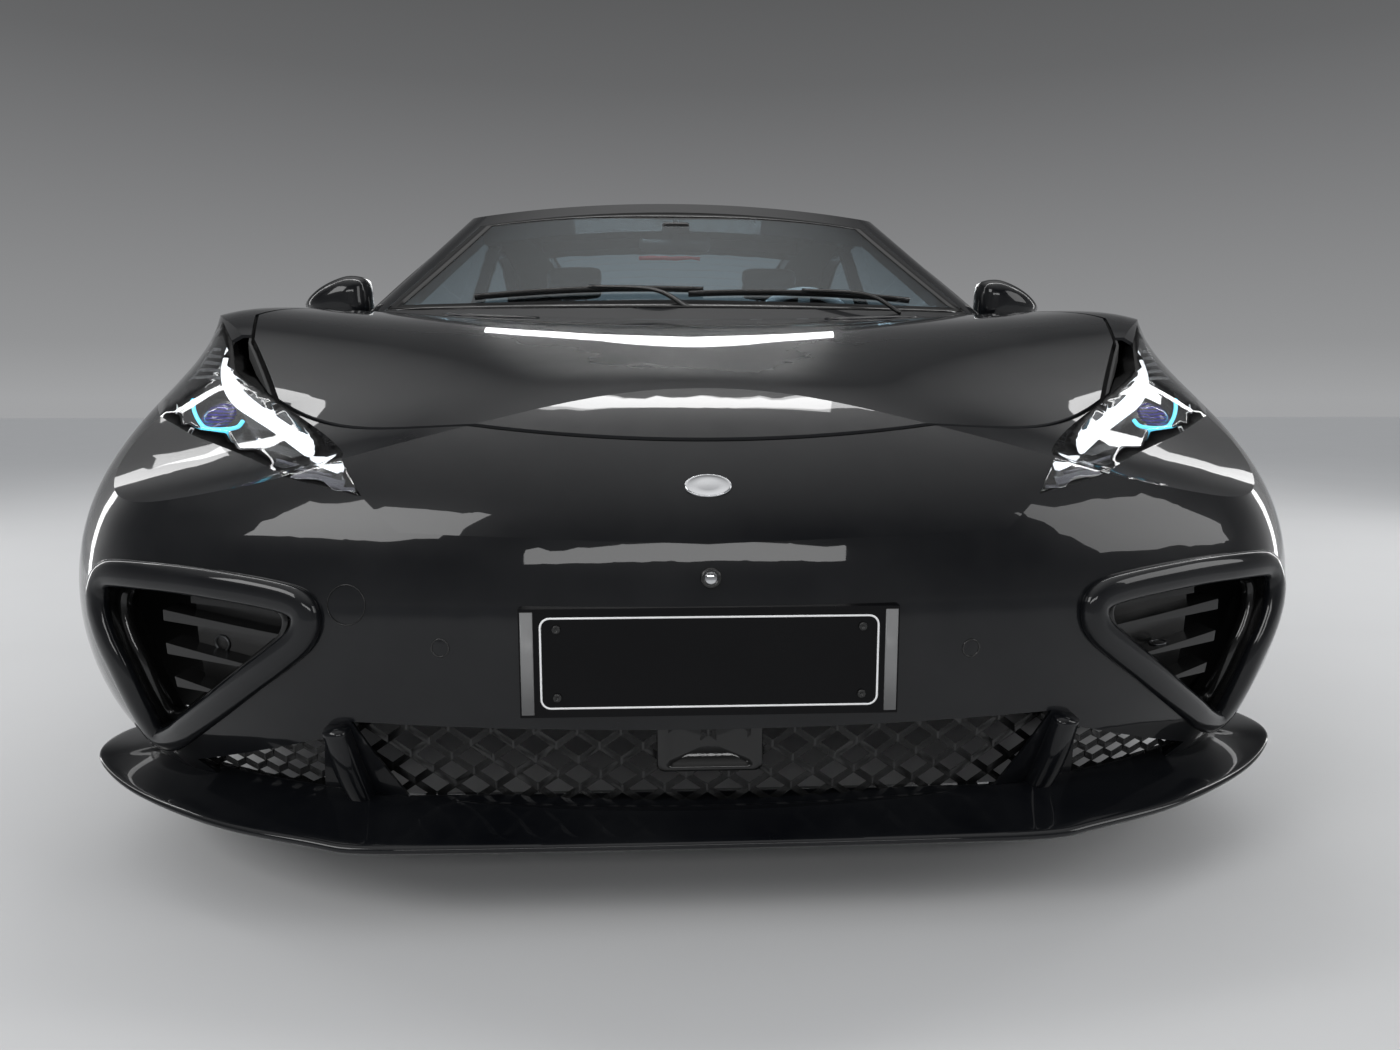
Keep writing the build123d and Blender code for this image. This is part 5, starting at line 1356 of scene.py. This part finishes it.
def leaning(tilt_y, tilt_z):
    """A face's normal and its upward direction."""
    normal = Vector((0, tilt_y, tilt_z)).normalized()
    up = ACROSS.cross(normal)
    return normal, up if up.z > 0 else -up


def panel(name, dash, x, z, half_x, half_z, proud):
    """A flat screen on a thin frame, standing just off the surface behind it."""
    normal, up = leaning(0.93, 0.36)
    place = Vector((x, dash.cast((x, 0.2, z), -ALONG)[0].y, z)) + normal * proud
    loop = rounded_loop(half_x, half_z, 0.012, 5)
    rim = ((0.96, -0.020), (1.0, -0.012), (1.0, 0.001), (0.985, 0.003), (0.965, 0.0024))
    face = ((0.965, 0.0024), (0.955, 0.0018), (0.4, 0.002), (0.02, 0.002))
    lofted(f"{name}_frame", stepped(place, loop, rim, normal, up=up), "piano", first=True, last=False)
    lofted(f"{name}_face", stepped(place, loop, face, normal, up=up), "screen", slot="black_plastic")


def vent(name, dash, x, z):
    """A framed air vent with four slats."""
    middle = Vector((x, dash.cast((x, 0.2, z), -ALONG)[0].y + 0.004, z))
    loop = [middle + Vector((a, 0, b)) for a, b in rounded_loop(0.062, 0.026, 0.012, 5)]
    swept_object(f"{name}_frame", loop, ALONG, ellipse(0.004, 0.006, 10, 3), "grey_trim", slot="trim",
                 closed=True)
    for index in range(4):
        path = [middle + Vector((a, 0, -0.017 + index * 0.0113)) for a in (-0.056, 0, 0.056)]
        swept_object(f"{name}_slat_{index}", path, (0, 0.5, 1), ellipse(0.006, 0.0012, 10, 3),
                     "satin_black", slot="trim")


def dash_details():
    """Screens, vents and stitching on the dashboard, and details on the console."""
    dash = Skin("dashboard")
    panel("centre_screen", dash, 0.0, 0.800, 0.155, 0.085, 0.012)
    panel("driver_screen", dash, 0.385, 0.842, 0.120, 0.040, 0.010)
    for index, x in enumerate((-0.66, -0.30, 0.22, 0.66)):
        vent(f"dash_vent_{index}", dash, x, 0.775)
    hits = [dash.cast((-0.74 + 1.48 * i / 40, -0.700, 1.2), -UP) for i in range(41)]
    swept_object("dash_seam", *on_surface(hits, 0.0004), ellipse(0.0015, 0.001, 8), "grey_trim", slot="trim")
    console = Skin("centre_console")
    for index, y in enumerate((-0.42, -0.32)):
        place, normal = console.cast((0.0, y, 1.2), -UP)
        path = []
        for a, b in circle(0.040, 36):
            found = console.cast((place.x + a, place.y + b, 1.2), -UP)
            path.append(found[0] if found else place + Vector((a, b, 0)))
        swept_object(f"cup_ring_{index}", path, normal, ellipse(0.003, 0.002, 10), "grey_trim", slot="trim",
                     closed=True)
    slab("console_lid", (-0.098, -0.12, 0.478), (0.098, 0.225, 0.520), 0.014, "trim", "trim", 0.008, 0.02)
    slab("drive_selector", (-0.022, -0.585, 0.565), (0.022, -0.535, 0.612), 0.008, "grey_trim", "trim", 0.004, 0.08)


def wheel_cover():
    """Centre pad and thumb controls on the steering wheel, turning with it."""
    centre = Vector((0.385, -0.560, 0.862))
    tilt = math.radians(24)
    normal, up = leaning(math.cos(tilt), math.sin(tilt))
    cover = ((1.0, 0.008), (1.03, 0.018), (0.98, 0.028), (0.80, 0.033), (0.40, 0.036), (0.02, 0.037))
    rings = stepped(centre - up * 0.006, rounded_loop(0.075, 0.058, 0.030, 6), cover, normal, up=up)
    lofted("wheel_centre_pad", rings, "trim", "steering_wheel", "wheel_trim", first=True)
    button = ((1.0, 0.010), (1.0, 0.013), (0.9, 0.0145), (0.02, 0.015))
    for sign in (-1, 1):
        rings = stepped(centre + ACROSS * sign * 0.112, rounded_loop(0.026, 0.014, 0.008, 4), button, normal, up=up)
        lofted(f"wheel_controls_{sign}", rings, "piano", "steering_wheel", "wheel_trim")


def cabin_mirror():
    """The inside mirror on its stalk behind the windscreen."""
    foot = Skin("windscreen").cast((0, -0.40, 0.5), UP)[0]
    place = foot + Vector((0, 0.075, -0.065))
    stalk = catmull([foot - UP * 0.003, foot + Vector((0, 0.03, -0.030)), place], 6)
    swept_object("cabin_mirror_stalk", stalk, ACROSS, ellipse(0.011, 0.009, 12), "satin_black")
    loop = rounded_loop(0.118, 0.029, 0.022, 6)
    shell = ((0.90, -0.020), (1.0, -0.012), (1.0, 0.003), (0.96, 0.004))
    rings = stepped(place + ALONG * 0.006, loop, shell, Vector((0, 1, -0.1)))
    lofted("cabin_mirror_shell", rings, "satin_black", first=True, last=False)
    lofted("cabin_mirror_glass", stepped(place, loop, ((0.96, 0.0095), (0.3, 0.0098)), ALONG), "mirror")
    low, high = foot + Vector((-0.045, -0.075, -0.044)), foot + Vector((0.045, 0.020, -0.020))
    slab("screen_sensor_cover", low, high, 0.008, "satin_black", "black_plastic", 0.0, 0.04)


def door_cards():
    """Trim on the inner face of each door: armrest, pull, lever and speaker."""
    levels = ((0.42, 0.004), (0.50, 0.006), (0.60, 0.010), (0.66, 0.034), (0.69, 0.042), (0.715, 0.036), (0.76, 0.010),
              (0.82, 0.007), (0.868, 0.003))
    columns = 23
    pull = ((0.022, -0.30), (0.046, -0.27), (0.052, -0.18), (0.046, -0.09), (0.022, -0.06))
    lever = ((0.010, -0.47), (0.021, -0.455), (0.023, -0.40), (0.016, -0.375))
    for sign, side in SIDES:
        body = f"door_{side}"
        x = Skin(f"door_{side}").cast((0.4 * sign, -0.2, 0.82), (sign, 0, 0))[0].x - sign * 0.0005
        verts = []
        for level, bulge in levels:
            for share in (i / (columns - 1) for i in range(columns)):
                ease = min(1, share / 0.12, (1 - share) / 0.12)
                verts.append((x - sign * (0.002 + bulge * ease ** 0.7), -0.735 + share * 1.10, level))
        card = mesh_object(f"door_card_{side}", verts, ring_faces(len(levels), columns, closed=False), "trim", body,
                           "trim")
        modifier(card, "SOLIDIFY", thickness=0.004, offset=0)
        modifier(card, "SUBSURF", levels=1, render_levels=1)
        for name, points, level, half, height, material in (("pull", pull, 0.742, 0.009, 0.011, "grey_trim"),
                                                            ("lever", lever, 0.800, 0.005, 0.009, "chrome")):
            path = catmull([(x - sign * d, y, level) for d, y in points], 5)
            swept_object(f"door_{name}_{side}", path, UP, ellipse(half, height, 12, 3), material, body, "trim")
        speaker, inward = Vector((x, -0.55, 0.535)), -sign * ACROSS
        rings = stepped(speaker, circle(0.078, 40), ((1, 0.009), (0.5, 0.0105), (0.95, 0.0087)), inward, UP, ALONG)
        swept_object(f"speaker_ring_{side}", rings[0], inward, ellipse(0.004, 0.004, 10), "grey_trim", body, "trim",
                     closed=True)
        fan(f"speaker_grille_{side}", speaker + inward * 0.0125, rings[1:], "grille_cloth", body, "trim")


def pedals():
    for name, x, tall in (("brake", 0.36, 0.055), ("drive", 0.475, 0.11)):
        slab(f"pedal_{name}", (x - 0.028, -0.965, 0.44), (x + 0.028, -0.945, 0.44 + tall), 0.006, "cast", "cast", 0.0,
             0.02)
        arm = catmull([(x, -0.968, 0.45 + tall / 2), (x, -1.01, 0.52), (x, -1.062, 0.60)], 6)
        swept_object(f"pedal_arm_{name}", arm, ACROSS, ellipse(0.006, 0.010, 12, 3), "steel")


def interior():
    seats()
    dash_details()
    wheel_cover()
    cabin_mirror()
    door_cards()
    pedals()


# Stage

FLOOR_HALF, FLOOR_SHADE = 30, 0.55
# How bright the seen background is, from the horizon up
BACKDROP = ((0.0, 0.36), (0.05, 0.29), (0.30, 0.13), (0.55, 0.045), (1.0, 0.02))


def add_floor():
    m = finish("pale_floor", grey(FLOOR_SHADE), 0.8, wear=("noise", 1.5, 6, 0.6),
               tint=(grey(FLOOR_SHADE * 0.97), grey(FLOOR_SHADE * 1.03)), bumps=[(0.05, 0.001, "noise", 40, 5)],
               Specular_IOR_Level=0.1)
    mesh = bpy.data.meshes.new("floor")
    size = FLOOR_HALF
    mesh.from_pydata([(-size, -size, 0), (size, -size, 0), (size, size, 0), (-size, size, 0)], [], [(0, 1, 2, 3)])
    floor = bpy.data.objects.new("floor", mesh)
    floor.data.materials.append(m.mat)
    SCENE.collection.objects.link(floor)


def add_world():
    """Even light on the object, and a backdrop that darkens upward for the camera and for reflections."""
    world = bpy.data.worlds.new("studio")
    SCENE.world = world
    world.use_nodes = True
    tree = world.node_tree
    link, new = tree.links.new, tree.nodes.new
    background = tree.nodes["Background"]
    background.inputs["Color"].default_value = (0.80, 0.82, 0.85, 1)
    background.inputs["Strength"].default_value = 0.72
    seen = new("ShaderNodeBackground")
    seen.inputs["Strength"].default_value = 1.0
    coord = new("ShaderNodeTexCoord")
    split = new("ShaderNodeSeparateXYZ")
    shade = new("ShaderNodeValToRGB")
    stops = shade.color_ramp.elements
    for position, value in BACKDROP:
        stop = stops[0] if position == 0 else stops.new(position)
        stop.position = position
        stop.color = (value, value * 1.01, value * 1.03, 1)
    stops.remove(stops[-1])
    link(coord.outputs["Generated"], split.inputs["Vector"])
    link(split.outputs["Z"], shade.inputs["Fac"])
    link(shade.outputs["Color"], seen.inputs["Color"])
    path = new("ShaderNodeLightPath")
    peak = path.outputs["Is Camera Ray"]
    for name in ("Is Glossy Ray", "Is Transmission Ray"):
        both = new("ShaderNodeMath")
        both.operation = "MAXIMUM"
        link(peak, both.inputs[0])
        link(path.outputs[name], both.inputs[1])
        peak = both.outputs[0]
    mix = new("ShaderNodeMixShader")
    link(peak, mix.inputs["Fac"])
    link(background.outputs[0], mix.inputs[1])
    link(seen.outputs[0], mix.inputs[2])
    link(mix.outputs[0], tree.nodes["World Output"].inputs["Surface"])


def add_light(name, place, aim, size, power, size_y):
    data = bpy.data.lights.new(name, "AREA")
    data.shape = "RECTANGLE"
    data.size = size
    data.size_y = size_y
    data.energy = power
    light = bpy.data.objects.new(name, data)
    light.location = place
    light.rotation_mode = "QUATERNION"
    light.rotation_quaternion = (Vector(aim) - Vector(place)).to_track_quat("-Z", "Y")
    SCENE.collection.objects.link(light)


def add_lights():
    add_light("key", (-3.4, -4.8, 3.6), (0, -1.2, 0.6), 2.4, 80, 1.6)
    add_light("fill", (4.4, -3.8, 2.8), (0, -1.0, 0.6), 2.0, 45, 2.0)
    add_light("front_strip", (0, -6.4, 2.3), (0, -1.5, 0.6), 3.6, 38, 0.5)
    for side in (-1, 1):
        add_light(f"ceiling_{side}", (side * 1.5, -0.4, 4.2), (side * 1.2, -0.4, 0), 0.35, 42, 5.4)
        add_light(f"side_strip_{side}", (side * 5.2, 0.2, 2.0), (0, 0.2, 0.7), 0.45, 60, 6.0)
    add_light("rear", (0, 5.8, 3.2), (0, 1.4, 0.6), 3.4, 75, 1.4)
    add_light("rear_strip", (0, 6.6, 1.3), (0, 1.8, 0.6), 4.2, 26, 0.35)


front_details()
wheel_set()
window_bands()
wipers()
mirrors()
bonnet_ovals()
door_trim()
tail_details()
interior()
add_floor()
add_world()
add_lights()
SCENE.view_settings.view_transform = "Standard"
